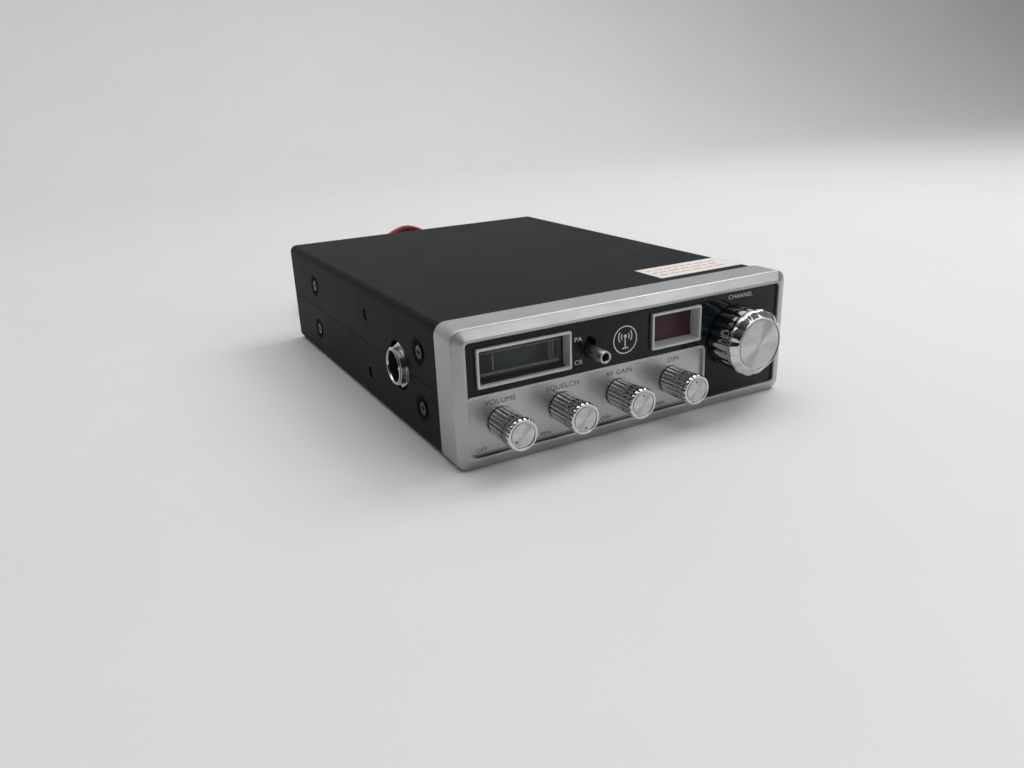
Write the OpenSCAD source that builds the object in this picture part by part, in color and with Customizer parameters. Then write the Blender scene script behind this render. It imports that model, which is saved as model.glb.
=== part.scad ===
// Mobile two-way radio for a vehicle dashboard: clamshell steel case, plated front
// moulding, four small controls, a channel knob, a mode lever and an edgewise meter.
// Inside seat(), x runs across the front, y runs back from the bezel's front rim and
// z runs up from the surface that the radio stands on.

/* [Case] */
// Width over the front moulding
body_w = 160; // [140:1:200]
// Height over the front moulding
body_h = 54.5; // [50:0.5:66]
// Depth of the front moulding
bezel_d = 16; // [14:0.5:20]
// Length of the steel covers behind the front moulding
cover_len = 202; // [165:1:250]
// Steel thickness of the covers
cover_t = 1; // [0.8:0.1:1.4]
// How far the front moulding stands proud of the covers
cover_step = 1; // [0.6:0.1:1.5]
// Outside bend radius of the covers
bend_r = 3.5; // [2.5:0.5:5]
// Gap along the seam between the two covers
seam_gap = 0.2; // [0.1:0.1:0.5]
// How far the rear panel sits inside the covers
rear_inset = 2; // [1:0.5:4]
// Thickness of the chassis rails and the rear panel
rail_t = 1.5; // [1.2:0.1:2]

/* [Cover screws and bracket holes] */
// Depth of the pressed dish under each cover screw
dish_d = 1.8; // [1.2:0.1:2.2]
// Radius of each dish at the cover's surface
dish_r = 6; // [5:0.5:7]
// Distance from the seam to each row of cover screws
screw_rise = 11.7; // [10:0.1:14]
// Front screws, behind the front moulding's front rim
screw_front_y = 34.5; // [30:0.5:40]
// Rear screws, ahead of the covers' rear edge
screw_rear_inset = 43; // [30:1:60]
// Radius of the cover screws' heads
screw_head_r = 2.8; // [2.5:0.1:3.2]
// Threaded bracket holes, behind the front moulding's front rim
bracket_y = 95; // [85:1:110]
// Distance from the seam to each bracket hole
bracket_rise = 13.6; // [12:0.1:15]
// Radius of the bracket screws' thread
bracket_r = 2.5; // [2:0.25:3]

/* [Front] */
// Width of the border around the front recesses
border = 5; // [4:0.5:7]
// Width of the sloping bevel around the front
bevel_w = 4; // [2:0.5:4]
// Depth of the bevel
bevel_d = 2; // [1:0.5:3]
// Height of the brushed control plate
plate_h = 23; // [20:1:26]
// Width of the brushed control plate
plate_w = 109.5; // [100:0.5:115]
// Depth of the black fascia's face behind the front rim
fascia_y = 1; // [0.5:0.1:1.5]
// Thickness of the black fascia
fascia_t = 0.8; // [0.5:0.1:1]
// Depth of the control plate's face behind the front rim
plate_y = 1.8; // [1.2:0.1:2.4]
// Thickness of the control plate
plate_t = 0.6; // [0.4:0.1:1]
// Width of the thin raised rims
rim_w = 1; // [0.8:0.1:1.5]

/* [Windows] */
// Clear width of the meter window
meter_w = 38; // [32:1:42]
// Clear height of both windows
window_h = 13; // [11:0.5:14]
// Gap from the front recess's left edge to the meter's rim
meter_in = 4; // [3:0.5:6]
// Clear width of the channel display window
display_w = 23; // [20:1:25]
// Gap from the front recess's right edge to the display's rim
display_in = 43; // [40:0.5:45]
// Height of both windows' centres
window_z = 39.2; // [37:0.1:40]
// Depth of the meter's lens behind the front rim
lens_y = 3; // [2:0.5:3.5]
// Thickness of the meter's lens
lens_t = 1.4; // [1:0.1:2]
// How much each window's recess narrows on every side toward its pane
window_draft = 1; // [0.5:0.1:1.5]

/* [Controls] */
// Distance between the four small controls
control_pitch = 26.5; // [24:0.5:28]
// Leftmost control, from the control plate's left edge
control_in = 14; // [12:0.5:16]
// Height of the small controls' axis
control_z = 16.8; // [14:0.1:18]
// Radius of a small knob's front ring
knob_r = 6.4; // [5.5:0.1:7.5]
// How far a small knob stands out from the front rim
knob_out = 14.5; // [12:0.5:18]
// Channel knob's axis, from the front recess's right edge
channel_in = 25; // [23:0.5:27]
// Height of the channel knob's axis
channel_z = 30.3; // [28:0.1:31]
// Radius of the channel knob's ring
channel_r = 14; // [12:0.5:15]
// How far the channel knob stands out from the front rim
channel_out = 15.5; // [13:0.5:20]
// Radius of every control shaft
shaft_r = 3; // [2.5:0.1:3.2]
// Running clearance of shafts in their bushes
running_gap = 0.05; // [0.02:0.01:0.09]
// Mode lever's axis, from the meter's rim
lever_in = 9; // [8:0.5:10]
// Height of the mode lever in its lower position
lever_z = 37; // [36:0.1:38]
// Radius of the mode lever
lever_r = 2.5; // [2:0.1:2.8]
// Travel of the mode lever
lever_travel = 3.2; // [2.5:0.1:4]
// How far the mode lever stands out from the front rim
lever_out = 9.5; // [7:0.5:12]

/* [Sockets] */
// Microphone socket, behind the front rim
mic_y = 57.5; // [55:0.5:62]
// Radius of the microphone socket's thread
mic_r = 8; // [7.5:0.1:8.5]
// How far the microphone socket stands out from the cover
mic_out = 2.7; // [2:0.1:4]
// Depth of the microphone socket's insert below its rim
mic_face = 6.4; // [5:0.1:8]
// Radius of the aerial socket's thread
aerial_r = 7.9; // [7.5:0.1:8.5]
// How far the aerial socket stands out from the rear panel
aerial_out = 13.5; // [12:0.5:16]
// Radius of the bores of the two loudspeaker jacks
jack_r = 1.8; // [1.25:0.05:3.2]

/* [Loudspeaker] */
// Outside radius of the loudspeaker
speaker_r = 33; // [28:1:36]
// Height of the loudspeaker
speaker_h = 19; // [15:0.5:20]

/* [Hidden] */
$fn = 48;

// Case
cover_w = body_w - 2 * cover_step;
cover_h = body_h - cover_step;
cover_end = bezel_d + cover_len;
seam_z = cover_h / 2;
wall_x = cover_w / 2 - cover_t;
rail_x = wall_x - dish_d;
rail_z0 = 3;
rail_z1 = cover_h - 3;
plate_back = bezel_d + 1.2;
rear_face = cover_end - rear_inset;
rear_in = rear_face - rail_t;
screw_ys = [screw_front_y, cover_end - screw_rear_inset];
tab_w = 5;
front_tab_w = 2.4;
tab_h = 10;
tab_zs = [rail_z0 + 1, rail_z1 - tab_h - 1];

// Front
inner_w = body_w - 2 * border;
inner_h = body_h - 2 * border;
web_y = fascia_y + fascia_t;
web_back = 4;
plate_x0 = -inner_w / 2;
plate_x1 = plate_x0 + plate_w;
plate_z1 = border + plate_h;
bezel_wall = 2;
window_out = 0.3;
window_back = lens_y + lens_t;
display_back = window_back + 1.2;
control_xs = [for (i = [0:3]) plate_x0 + control_in + i * control_pitch];
channel_x = inner_w / 2 - channel_in;
meter_x = meter_in + rim_w + meter_w / 2 - inner_w / 2;
display_x = inner_w / 2 - display_in - rim_w - display_w / 2;
lever_x = meter_x + meter_w / 2 + rim_w + lever_in;
bosses = [
    [3.5 - inner_w / 2, 24],
    [inner_w / 2 - 4, 24],
    [lever_x + 17, 46],
    [control_xs[2] + 13, 8],
];
shaft_hole_r = shaft_r + 1;
lever_slot_r = lever_r + 0.3;
boss_r = 3;

// Controls
bush_y = 9;
bush_r = shaft_r + 0.5;
channel_bush_r = shaft_r + 1.5;
pot_r = 8;
pot_d = 9;
nut_t = 2.2;
knob_back = plate_y - 0.6;
channel_back = fascia_y - 0.6;
cap_t = 0.8;
switch_d = 20;

// Board
board_z = 24;
board_t = 1.6;
board_top = board_z + board_t;
board_y0 = plate_back + switch_d + 2;
board_y1 = rear_in - 4;
board_half = rail_x - rail_t - 2.2;
ledge_ys = [40, 130, 180];

// Meter movement
meter_wall = 2;
meter_depth = 34;
pivot_y = window_back + 30;
pivot_r = 0.75;
needle_reach = 29.2;
needle_rest = -20;
scale_r = needle_reach - 1.2;
scale_half = 17;

// Sockets
mic_x = -cover_w / 2;
mic_z = seam_z;
aerial_x = 56;
aerial_z = 30;
jack_xs = [28.5, 38];
jack_z = 32;

// The part stands on its base, centred on the origin without its lead
x_mid = (mic_out - cover_step) / 2;
front_end = channel_out;
rear_end = rear_face + aerial_out;
y_front = (front_end - rear_end) / 2;

// Lead: places on its route from the strain relief to the coil, and from the coil to the plug
lead_r = 2.4;
lead_x = 17;
lead_z = 42;
relief_out = 15;
lead_route = [
    [17, 124, 42],
    [17, 130, 42],
    [16, 136, 44.4],
    [12, 140.5, 47.9],
    [5, 142, 50],
    [-2, 141, 49.2],
    [-9, 139, 46.6],
    [-16, 137, 43],
    [-23, 135.5, 38.3],
    [-30, 134.5, 32.6],
    [-37, 134, 26.2],
    [-44, 134, 19.5],
    [-50, 135, 12.5],
    [-53.5, 138, 7],
    [-55, 143, 3.8],
    [-55.2, 148.5, 2.5],
];
tail_route = [
    [2, 179, 11.5],
    [10, 174.5, 10],
    [18, 171, 8],
    [26, 168.7, 6.6],
    [34, 167.4, 5.8],
    [42, 167, 5.5],
    [52, 167, 5.5],
    [62, 167, 5.5],
    [72, 167, 5.5],
];
coil_at = [-25, 160];
coil_in = 22.7;
coil_out = 32.3;
coil_h = 14.4;

// Odd places used by one sub-part or by neighbours
rear_screw_x = rail_x - rail_t - tab_w / 2;
speaker_y = 125;
pin_ring = 2.5;
insert_x = mic_x - mic_out + mic_face;
neck_r = mic_r - 0.3;
contact_r = 2;
fuse_x = 44;
tail_y = 167;
tail_z = 5.5;

module seat() {
    translate([x_mid, y_front, 0]) children();
}

// A flat outline in x and z, carried from y0 to y1
module prism_y(y0, y1) {
    translate([0, y1, 0]) rotate([90, 0, 0]) linear_extrude(y1 - y0) children();
}

module rod_y(x, z, r, y0, y1) {
    translate([x, y0, z]) rotate([-90, 0, 0]) cylinder(r = r, h = y1 - y0);
}

module hex_y(x, z, r, y0, y1) {
    translate([x, y0, z]) rotate([-90, 0, 0]) cylinder(r = r, h = y1 - y0, $fn = 6);
}

module rod_x(y, z, r, x0, x1) {
    translate([x0, y, z]) rotate([0, 90, 0]) cylinder(r = r, h = x1 - x0);
}

module cone_x(y, z, r0, r1, x0, x1) {
    translate([x0, y, z]) rotate([0, 90, 0]) cylinder(r1 = r0, r2 = r1, h = x1 - x0);
}

module block(x0, x1, y0, y1, z0, z1) {
    translate([x0, y0, z0]) cube([x1 - x0, y1 - y0, z1 - z0]);
}

module round_rect(w, h, r) {
    square([w - 2 * r, h], center = true);
    square([w, h - 2 * r], center = true);
    for (sx = [-1, 1], sz = [-1, 1]) {
        translate([sx * (w / 2 - r), sz * (h / 2 - r)]) circle(r);
    }
}

// Case

module cover_outline() {
    translate([0, cover_h / 2]) difference() {
        round_rect(cover_w, cover_h, bend_r);
        round_rect(cover_w - 2 * cover_t, cover_h - 2 * cover_t, bend_r - cover_t);
    }
}

// One half of the clamshell; up is 1 for the upper cover and -1 for the lower one
module half_cover(up) {
    screw_z = seam_z + up * screw_rise;
    bracket_z = seam_z + up * bracket_rise;
    half = cover_w / 2;
    difference() {
        union() {
            prism_y(bezel_d, cover_end) intersection() {
                cover_outline();
                translate([0, seam_z + up * (seam_gap / 2 + cover_h / 2)]) {
                    square([cover_w + 2, cover_h], center = true);
                }
            }
            for (side = [-1, 1], y = screw_ys) {
                mirror([side < 0 ? 1 : 0, 0, 0]) cone_x(y, screw_z, 4.2, dish_r + 0.4, rail_x, wall_x + 0.1);
            }
        }
        for (side = [-1, 1]) mirror([side < 0 ? 1 : 0, 0, 0]) {
            for (y = screw_ys) {
                cone_x(y, screw_z, 3.6, dish_r, half - dish_d, half + 0.001);
                rod_x(y, screw_z, 1.7, rail_x - 1, half);
            }
            rod_x(bracket_y, bracket_z, bracket_r + 0.3, wall_x - 1, half + 1);
        }
        rod_x(mic_y, mic_z, mic_r + 2.5, -half - 1, -wall_x + 1);
        if (up < 0) speaker_slots();
    }
}

module speaker_slots() {
    for (i = [-5:5]) {
        reach = sqrt(pow(speaker_r - 4, 2) - pow(i * 5, 2)) - 2;
        block(-reach, reach, speaker_y + i * 5 - 1.2, speaker_y + i * 5 + 1.2, -1, cover_t + 1);
    }
}

module top_cover() {
    color("#2c2f30") seat() half_cover(1);
}

module bottom_cover() {
    color("#2c2f30") seat() half_cover(-1);
}

module rail(side) {
    mirror([side < 0 ? 1 : 0, 0, 0]) {
        difference() {
            union() {
                block(rail_x - rail_t, rail_x, plate_back, rear_in, rail_z0, rail_z1);
                for (z = tab_zs) {
                    block(rail_x - rail_t - front_tab_w, rail_x, plate_back, plate_back + rail_t, z, z + tab_h);
                    block(rail_x - rail_t - tab_w, rail_x, rear_in - rail_t, rear_in, z, z + tab_h);
                }
                for (y = ledge_ys) {
                    block(rail_x - rail_t - tab_w, rail_x, y - 4, y + 4, board_z - rail_t, board_z);
                }
                for (up = [-1, 1]) {
                    rod_x(bracket_y, seam_z + up * bracket_rise, bracket_r + 1.5, rail_x - 5, wall_x);
                }
            }
            for (up = [-1, 1]) {
                rod_x(bracket_y, seam_z + up * bracket_rise, bracket_r, rail_x - 6, wall_x + 1);
                for (y = screw_ys) rod_x(y, seam_z + up * screw_rise, 1.5, rail_x - 3, rail_x + 1);
            }
            for (z = tab_zs) rod_y(rear_screw_x, z + tab_h / 2, 1.25, rear_in - rail_t - 1, rear_in + 1);
            if (side < 0) rod_x(mic_y, mic_z, neck_r, rail_x - 3, rail_x + 1);
        }
    }
}

module left_rail() {
    color("#b9bcbb") seat() rail(-1);
}

module right_rail() {
    color("#b9bcbb") seat() rail(1);
}

module front_plate() {
    color("#b9bcbb") seat() difference() {
        block(-rail_x, rail_x, bezel_d, plate_back, rail_z0, rail_z1);
        for (x = control_xs) rod_y(x, control_z, bush_r + 0.2, bezel_d - 1, plate_back + 1);
        rod_y(channel_x, channel_z, channel_bush_r + 0.2, bezel_d - 1, plate_back + 1);
        for (b = bosses) rod_y(b[0], b[1], 1.5, bezel_d - 1, plate_back + 1);
        block(meter_x - meter_w / 2 - meter_wall, meter_x + meter_w / 2 + meter_wall,
            bezel_d - 1, plate_back + 1,
            window_z - window_h / 2 - meter_wall, window_z + window_h / 2 + meter_wall);
    }
}

module rear_panel() {
    color("#3a3c3c") seat() difference() {
        block(-rail_x, rail_x, rear_in, rear_face, cover_t + 0.3, cover_h - cover_t - 0.3);
        for (side = [-1, 1], z = tab_zs) {
            rod_y(side * rear_screw_x, z + tab_h / 2, 1.4, rear_in - 1, rear_face + 1);
        }
        rod_y(aerial_x, aerial_z, aerial_r, rear_in - 1, rear_face + 1);
        for (x = jack_xs) rod_y(x, jack_z, 3, rear_in - 1, rear_face + 1);
        rod_y(lead_x - x_mid, lead_z, 5, rear_in - 1, rear_face + 1);
    }
}

module cover_screw() {
    difference() {
        union() {
            rod_x(0, 0, screw_head_r, cover_w / 2 - dish_d, cover_w / 2);
            rod_x(0, 0, 1.45, rail_x - 2.5, cover_w / 2 - dish_d);
        }
        for (a = [0, 90]) {
            rotate([a, 0, 0]) block(cover_w / 2 - 1, cover_w / 2 + 1, -1.6, 1.6, -0.35, 0.35);
        }
    }
}

module cover_screws() {
    color("#1c1d1d") seat() {
        for (side = [-1, 1], up = [-1, 1], y = screw_ys) {
            mirror([side < 0 ? 1 : 0, 0, 0]) translate([0, y, seam_z + up * screw_rise]) cover_screw();
        }
    }
}

module chassis_screws() {
    color("#c4c6c6") seat() {
        for (b = bosses) {
            rod_y(b[0], b[1], 1.2, 9, plate_back);
            rod_y(b[0], b[1], 2.5, plate_back, plate_back + 1.8);
        }
        for (side = [-1, 1], z = tab_zs) translate([side * rear_screw_x, 0, z + tab_h / 2]) {
            rod_y(0, 0, 1.2, rear_in - 4, rear_face);
            difference() {
                rod_y(0, 0, 2.5, rear_face, rear_face + 1.8);
                for (a = [0, 90]) {
                    rotate([0, a, 0]) block(-1.5, 1.5, rear_face + 1, rear_face + 3, -0.35, 0.35);
                }
            }
        }
    }
}

module top_label() {
    color("#e6e2da") seat() block(cover_w / 2 - 48.5, cover_w / 2 - 3.5, 24, 43, cover_h, cover_h + 0.15);
}

// Front

module bezel_block() {
    translate([0, 0, body_h / 2]) hull() {
        prism_y(bevel_d, bezel_d) round_rect(body_w, body_h, 5);
        prism_y(0, 0.1) round_rect(body_w - 2 * bevel_w, body_h - 2 * bevel_w, 2.5);
    }
}

module window_frame(x, w) {
    translate([x, window_z]) square([w + 2 * rim_w, window_h + 2 * rim_w], center = true);
}

module pane(x, w, y0, y1) {
    prism_y(y0, y1) translate([x, window_z]) {
        square([w - 2 * window_draft, window_h - 2 * window_draft], center = true);
    }
}

// A recess with sloping walls in front of a pane, and the pocket that the pane sits in
module window_cut(x, w, pane_y) {
    hull() {
        prism_y(-window_out - 0.1, -window_out) translate([x, window_z]) square([w, window_h], center = true);
        pane(x, w, pane_y - 0.1, pane_y);
    }
    pane(x, w, pane_y - 0.1, display_back + 1);
}

module plate_area(grow) {
    translate([(plate_x0 + plate_x1) / 2, (border + plate_z1) / 2]) {
        round_rect(plate_w + 2 * grow, plate_h + 2 * grow, 1.5 + grow);
    }
}

module front_area() {
    translate([0, body_h / 2]) round_rect(inner_w, inner_h, 1.5);
}

module lever_slot(y0, y1) {
    rod_y(lever_x, lever_z, lever_slot_r, y0, y1);
    rod_y(lever_x, lever_z + lever_travel, lever_slot_r, y0, y1);
    block(lever_x - lever_slot_r, lever_x + lever_slot_r, y0, y1, lever_z, lever_z + lever_travel);
}

module front_bezel() {
    color("#b4b6b4") seat() difference() {
        union() {
            difference() {
                bezel_block();
                prism_y(-1, web_y) intersection() {
                    front_area();
                    difference() {
                        front_area();
                        plate_area(rim_w);
                    }
                }
                prism_y(-1, 0.5) intersection() {
                    front_area();
                    plate_area(rim_w);
                }
                prism_y(-1, plate_y + plate_t) plate_area(0);
                translate([0, 0, body_h / 2]) prism_y(web_back, bezel_d + 1) {
                    round_rect(body_w - 2 * bezel_wall, body_h - 2 * bezel_wall, 3);
                }
            }
            prism_y(-window_out, window_back) window_frame(meter_x, meter_w);
            prism_y(-window_out, display_back) window_frame(display_x, display_w);
            for (b = bosses) rod_y(b[0], b[1], boss_r, web_back - 1, bezel_d);
        }
        window_cut(meter_x, meter_w, lens_y);
        window_cut(display_x, display_w, display_back - lens_t);
        for (x = control_xs) rod_y(x, control_z, shaft_hole_r, -1, web_back + 1);
        rod_y(channel_x, channel_z, shaft_hole_r, -1, web_back + 1);
        lever_slot(-1, web_back + 1);
        for (b = bosses) rod_y(b[0], b[1], 1.25, 7, bezel_d + 1);
    }
}

module black_fascia() {
    color("#101416") seat() difference() {
        prism_y(fascia_y, web_y) difference() {
            front_area();
            plate_area(rim_w);
            window_frame(meter_x, meter_w);
            window_frame(display_x, display_w);
        }
        rod_y(channel_x, channel_z, shaft_hole_r, fascia_y - 1, web_y + 1);
        lever_slot(fascia_y - 1, web_y + 1);
    }
}

module control_plate() {
    color("#b9bbba") seat() difference() {
        prism_y(plate_y, plate_y + plate_t) plate_area(0);
        for (x = control_xs) rod_y(x, control_z, shaft_hole_r, plate_y - 1, plate_y + 2);
    }
}

module display_window() {
    color("#3a1418") seat() pane(display_x, display_w, display_back - lens_t, display_back);
}

// Meter

module meter_case() {
    w = meter_w + 2 * meter_wall;
    h = window_h + 2 * meter_wall;
    back = window_back + meter_depth;
    color("#26282a") seat() translate([meter_x, 0, window_z]) difference() {
        block(-w / 2, w / 2, window_back, back, -h / 2, h / 2);
        block(-meter_w / 2, meter_w / 2, window_back - 1, back - meter_wall, -window_h / 2, window_h / 2);
        translate([0, pivot_y, -h / 2 + 0.5]) cylinder(r = pivot_r + running_gap, h = h - 1);
    }
}

module meter_lens() {
    color("#c9d2d2", 0.4) seat() pane(meter_x, meter_w, lens_y, window_back);
}

module meter_scale() {
    color("#30363a") seat() translate([meter_x, 0, window_z]) {
        intersection() {
            translate([0, pivot_y, -window_h / 2]) difference() {
                cylinder(r = scale_r, h = window_h - 2);
                translate([0, 0, -1]) cylinder(r = scale_r - 0.8, h = window_h);
            }
            block(-scale_half, scale_half, 0, pivot_y, -window_h, window_h);
        }
    }
}

// The needle hangs in front of the curved scale from an arm that passes over the scale's top edge
module meter_pointer() {
    arm_z = window_h / 2 - 1.3;
    color("#e8e8e4") seat() translate([meter_x, pivot_y, window_z]) rotate([0, 0, needle_rest]) {
        translate([0, 0, -window_h / 2 - meter_wall + 0.6]) {
            cylinder(r = pivot_r, h = window_h + 2 * meter_wall - 1.2);
        }
        block(-0.3, 0.3, -needle_reach, -0.3, arm_z - 0.3, arm_z + 0.3);
        block(-0.3, 0.3, -needle_reach - 0.2, 0.2 - needle_reach, arm_z - 9, arm_z + 0.3);
    }
}

// Display

module display_board() {
    color("#2f5a3c") seat() {
        block(display_x - display_w / 2 - 2.5, display_x + display_w / 2 + 2.5, bezel_d - board_t, bezel_d,
            window_z - window_h / 2 - 2, window_z + window_h / 2 + 2);
    }
}

module display_digits() {
    color("#1c1214") seat() {
        for (side = [-1, 1]) translate([display_x + side * 5, 0, 0]) {
            block(-4.8, 4.8, bezel_d - board_t - 5, bezel_d - board_t, window_z - 6, window_z + 6);
        }
    }
}

// Main board and what it carries

module main_board() {
    color("#8a7a45") seat() difference() {
        block(-board_half, board_half, board_y0, board_y1, board_z, board_top);
        block(-board_half - 1, 12.5 - board_half, mic_y - mic_r - 4, mic_y + mic_r + 4, board_z - 1, board_top + 1);
    }
}

module if_can(x, y) {
    translate([x, y, board_top]) difference() {
        block(-5, 5, -5, 5, 0, 13);
        translate([0, 0, 10]) cylinder(r = 2, h = 4);
    }
}

module if_cans() {
    color("#c2c4c3") seat() {
        for (i = [0:3], j = [0:2]) if_can(-48 + i * 15, 80 + j * 16);
    }
}

module capacitors() {
    color("#23364f") seat() {
        for (i = [0:3]) translate([22 + i * 11, 80, board_top]) cylinder(r = 4, h = 12);
        for (i = [0:2]) translate([24 + i * 15, 104, board_top]) cylinder(r = 6, h = 18);
    }
}

module chips() {
    color("#17191a") seat() {
        for (i = [0:2]) block(-52 + i * 30, -30 + i * 30, 136, 143, board_top, board_top + 4);
        block(-40, -20, 164, 171, board_top, board_top + 4);
    }
}

module audio_transformer() {
    color("#8c6b3a") seat() translate([42, 160, board_top]) {
        difference() {
            block(-15, 15, -6, 6, 0, 22);
            block(-10, -5, -7, 7, 5, 17);
            block(5, 10, -7, 7, 5, 17);
        }
    }
}

module power_transistors() {
    color("#1d1f20") seat() {
        for (x = [-40, -20]) {
            block(x - 5, x + 5, rear_in - 1.3, rear_in, board_top + 4, board_top + 20);
            block(x - 5, x + 5, rear_in - 4.6, rear_in - 1.3, board_top + 4, board_top + 13);
            for (k = [-1:1]) {
                block(x + k * 2.5 - 0.4, x + k * 2.5 + 0.4, rear_in - 4.6, rear_in - 4, board_top, board_top + 4);
            }
        }
    }
}

// Loudspeaker, facing down through the lower cover

module speaker_basket() {
    color("#6d7071") seat() translate([0, speaker_y, cover_t]) rotate_extrude() {
        polygon([
            [speaker_r - 4, 0],
            [speaker_r, 0],
            [speaker_r, 1.2],
            [speaker_r - 3, 1.2],
            [17, 9],
            [17, 10],
            [7, 10],
            [7, 9],
            [15, 9],
            [speaker_r - 4, 1.2],
        ]);
    }
}

module speaker_cone() {
    color("#2a2725") seat() translate([0, speaker_y, cover_t]) rotate_extrude() {
        polygon([
            [speaker_r - 4.2, 0.3],
            [speaker_r - 4.2, 0.9],
            [15, 6.6],
            [8, 9],
            [0, 9],
            [0, 8.4],
            [7.6, 8.4],
            [14.4, 6],
            [speaker_r - 6, 0.3],
        ]);
    }
}

module speaker_magnet() {
    color("#3b3d3e") seat() translate([0, speaker_y, cover_t + 10]) {
        cylinder(r = 16, h = speaker_h - 10);
    }
}

// Controls

module pot(x, depth) {
    difference() {
        union() {
            rod_y(x, control_z, pot_r, plate_back, plate_back + depth);
            rod_y(x, control_z, bush_r, bush_y, plate_back);
        }
        rod_y(x, control_z, shaft_r + running_gap, bush_y - 1, plate_back + pot_d - 1);
    }
}

module pot_bodies() {
    color("#a9acab") seat() {
        pot(control_xs[0], pot_d + 6);
        for (i = [1:3]) pot(control_xs[i], pot_d);
    }
}

module channel_switch_body() {
    color("#6b5b3c") seat() difference() {
        union() {
            rod_y(channel_x, channel_z, 13, plate_back, plate_back + switch_d);
            rod_y(channel_x, channel_z, channel_bush_r, bush_y, plate_back);
        }
        rod_y(channel_x, channel_z, shaft_r + running_gap, bush_y - 1, plate_back + switch_d - 2);
    }
}

module shaft(x, z, front, back) {
    rod_y(x, z, shaft_r, front, back);
}

// Outline of a fluted grip
module fluted(r, flutes, groove) {
    difference() {
        circle(r);
        for (i = [0:flutes - 1]) rotate(i * 360 / flutes) translate([r + groove / 3, 0]) circle(groove);
    }
}

module small_knob(x) {
    color("#c9cccc") seat() translate([x, 0, control_z]) difference() {
        union() {
            prism_y(3.5 - knob_out, knob_back) fluted(knob_r - 0.4, 18, 0.6);
            rod_y(0, 0, knob_r, 1 - knob_out, 3.5 - knob_out);
            rod_y(0, 0, knob_r - 0.6, -knob_out, 1 - knob_out);
        }
        rod_y(0, 0, knob_r - 1.4, -knob_out - 1, cap_t - knob_out);
        rod_y(0, 0, shaft_r, 4.5 - knob_out, knob_back + 1);
    }
}

module small_cap(x) {
    color("#d6d7d5") seat() rod_y(x, control_z, knob_r - 1.4, -knob_out, cap_t - knob_out);
}

module small_shaft(x) {
    color("#b0b2b1") seat() shaft(x, control_z, 4.5 - knob_out, plate_back + pot_d - 1.2);
}

module volume_knob() {
    small_knob(control_xs[0]);
}

module volume_cap() {
    small_cap(control_xs[0]);
}

module volume_shaft() {
    small_shaft(control_xs[0]);
}

module squelch_knob() {
    small_knob(control_xs[1]);
}

module squelch_cap() {
    small_cap(control_xs[1]);
}

module squelch_shaft() {
    small_shaft(control_xs[1]);
}

module gain_knob() {
    small_knob(control_xs[2]);
}

module gain_cap() {
    small_cap(control_xs[2]);
}

module gain_shaft() {
    small_shaft(control_xs[2]);
}

module dimmer_knob() {
    small_knob(control_xs[3]);
}

module dimmer_cap() {
    small_cap(control_xs[3]);
}

module dimmer_shaft() {
    small_shaft(control_xs[3]);
}

module channel_knob() {
    ring_back = 5 - channel_out;
    color("#c9cccc") seat() translate([channel_x, 0, channel_z]) difference() {
        union() {
            prism_y(ring_back, channel_back) fluted(channel_r - 0.6, 14, 1.5);
            rod_y(0, 0, channel_r, 2.4 - channel_out, ring_back);
            translate([0, 2.4 - channel_out, 0]) rotate([90, 0, 0]) {
                cylinder(r1 = channel_r, r2 = channel_r - 2.7, h = 2.4);
            }
        }
        rod_y(0, 0, channel_r - 3.2, -channel_out - 1, cap_t - channel_out);
        rod_y(0, 0, shaft_r, 4.5 - channel_out, channel_back + 1);
    }
}

module channel_cap() {
    color("#d6d7d5") seat() rod_y(channel_x, channel_z, channel_r - 3.2, -channel_out, cap_t - channel_out);
}

module channel_shaft() {
    color("#b0b2b1") seat() shaft(channel_x, channel_z, 4.5 - channel_out, plate_back + switch_d - 2.2);
}

module mode_switch_body() {
    mid_z = lever_z + lever_travel / 2;
    color("#2b2d2e") seat() difference() {
        block(lever_x - 6, lever_x + 6, web_back, web_back + 8, mid_z - 9, mid_z + 9);
        block(lever_x - 3.6, lever_x + 3.6, web_back - 1, web_back + 4,
            lever_z - 4.1, lever_z + lever_travel + 4.1);
    }
}

module mode_lever() {
    color("#c9cccc") seat() difference() {
        union() {
            rod_y(lever_x, lever_z, lever_r, -lever_out, web_back + 0.6);
            block(lever_x - 3.5, lever_x + 3.5, web_back + 0.6, web_back + 3.9, lever_z - 4, lever_z + 4);
        }
        rod_y(lever_x, lever_z, lever_r - 0.9, -lever_out - 1, 4 - lever_out);
    }
}

module panel_nuts() {
    color("#c4c6c6") seat() {
        for (x = control_xs) difference() {
            hex_y(x, control_z, bush_r + 2, bezel_d - nut_t, bezel_d);
            rod_y(x, control_z, bush_r, bezel_d - nut_t - 1, bezel_d + 1);
        }
        difference() {
            hex_y(channel_x, channel_z, channel_bush_r + 2.5, bezel_d - nut_t, bezel_d);
            rod_y(channel_x, channel_z, channel_bush_r, bezel_d - nut_t - 1, bezel_d + 1);
        }
        difference() {
            translate([-rail_x - nut_t, mic_y, mic_z]) rotate([0, 90, 0]) cylinder(r = mic_r + 2.2, h = nut_t, $fn = 6);
            rod_x(mic_y, mic_z, neck_r, -rail_x - nut_t - 1, -rail_x + 1);
        }
        for (x = jack_xs) difference() {
            rod_y(x, jack_z, 4.3, rear_face, rear_face + 1.8);
            rod_y(x, jack_z, 3, rear_face - 1, rear_face + 3);
        }
    }
}

// Microphone socket

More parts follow.
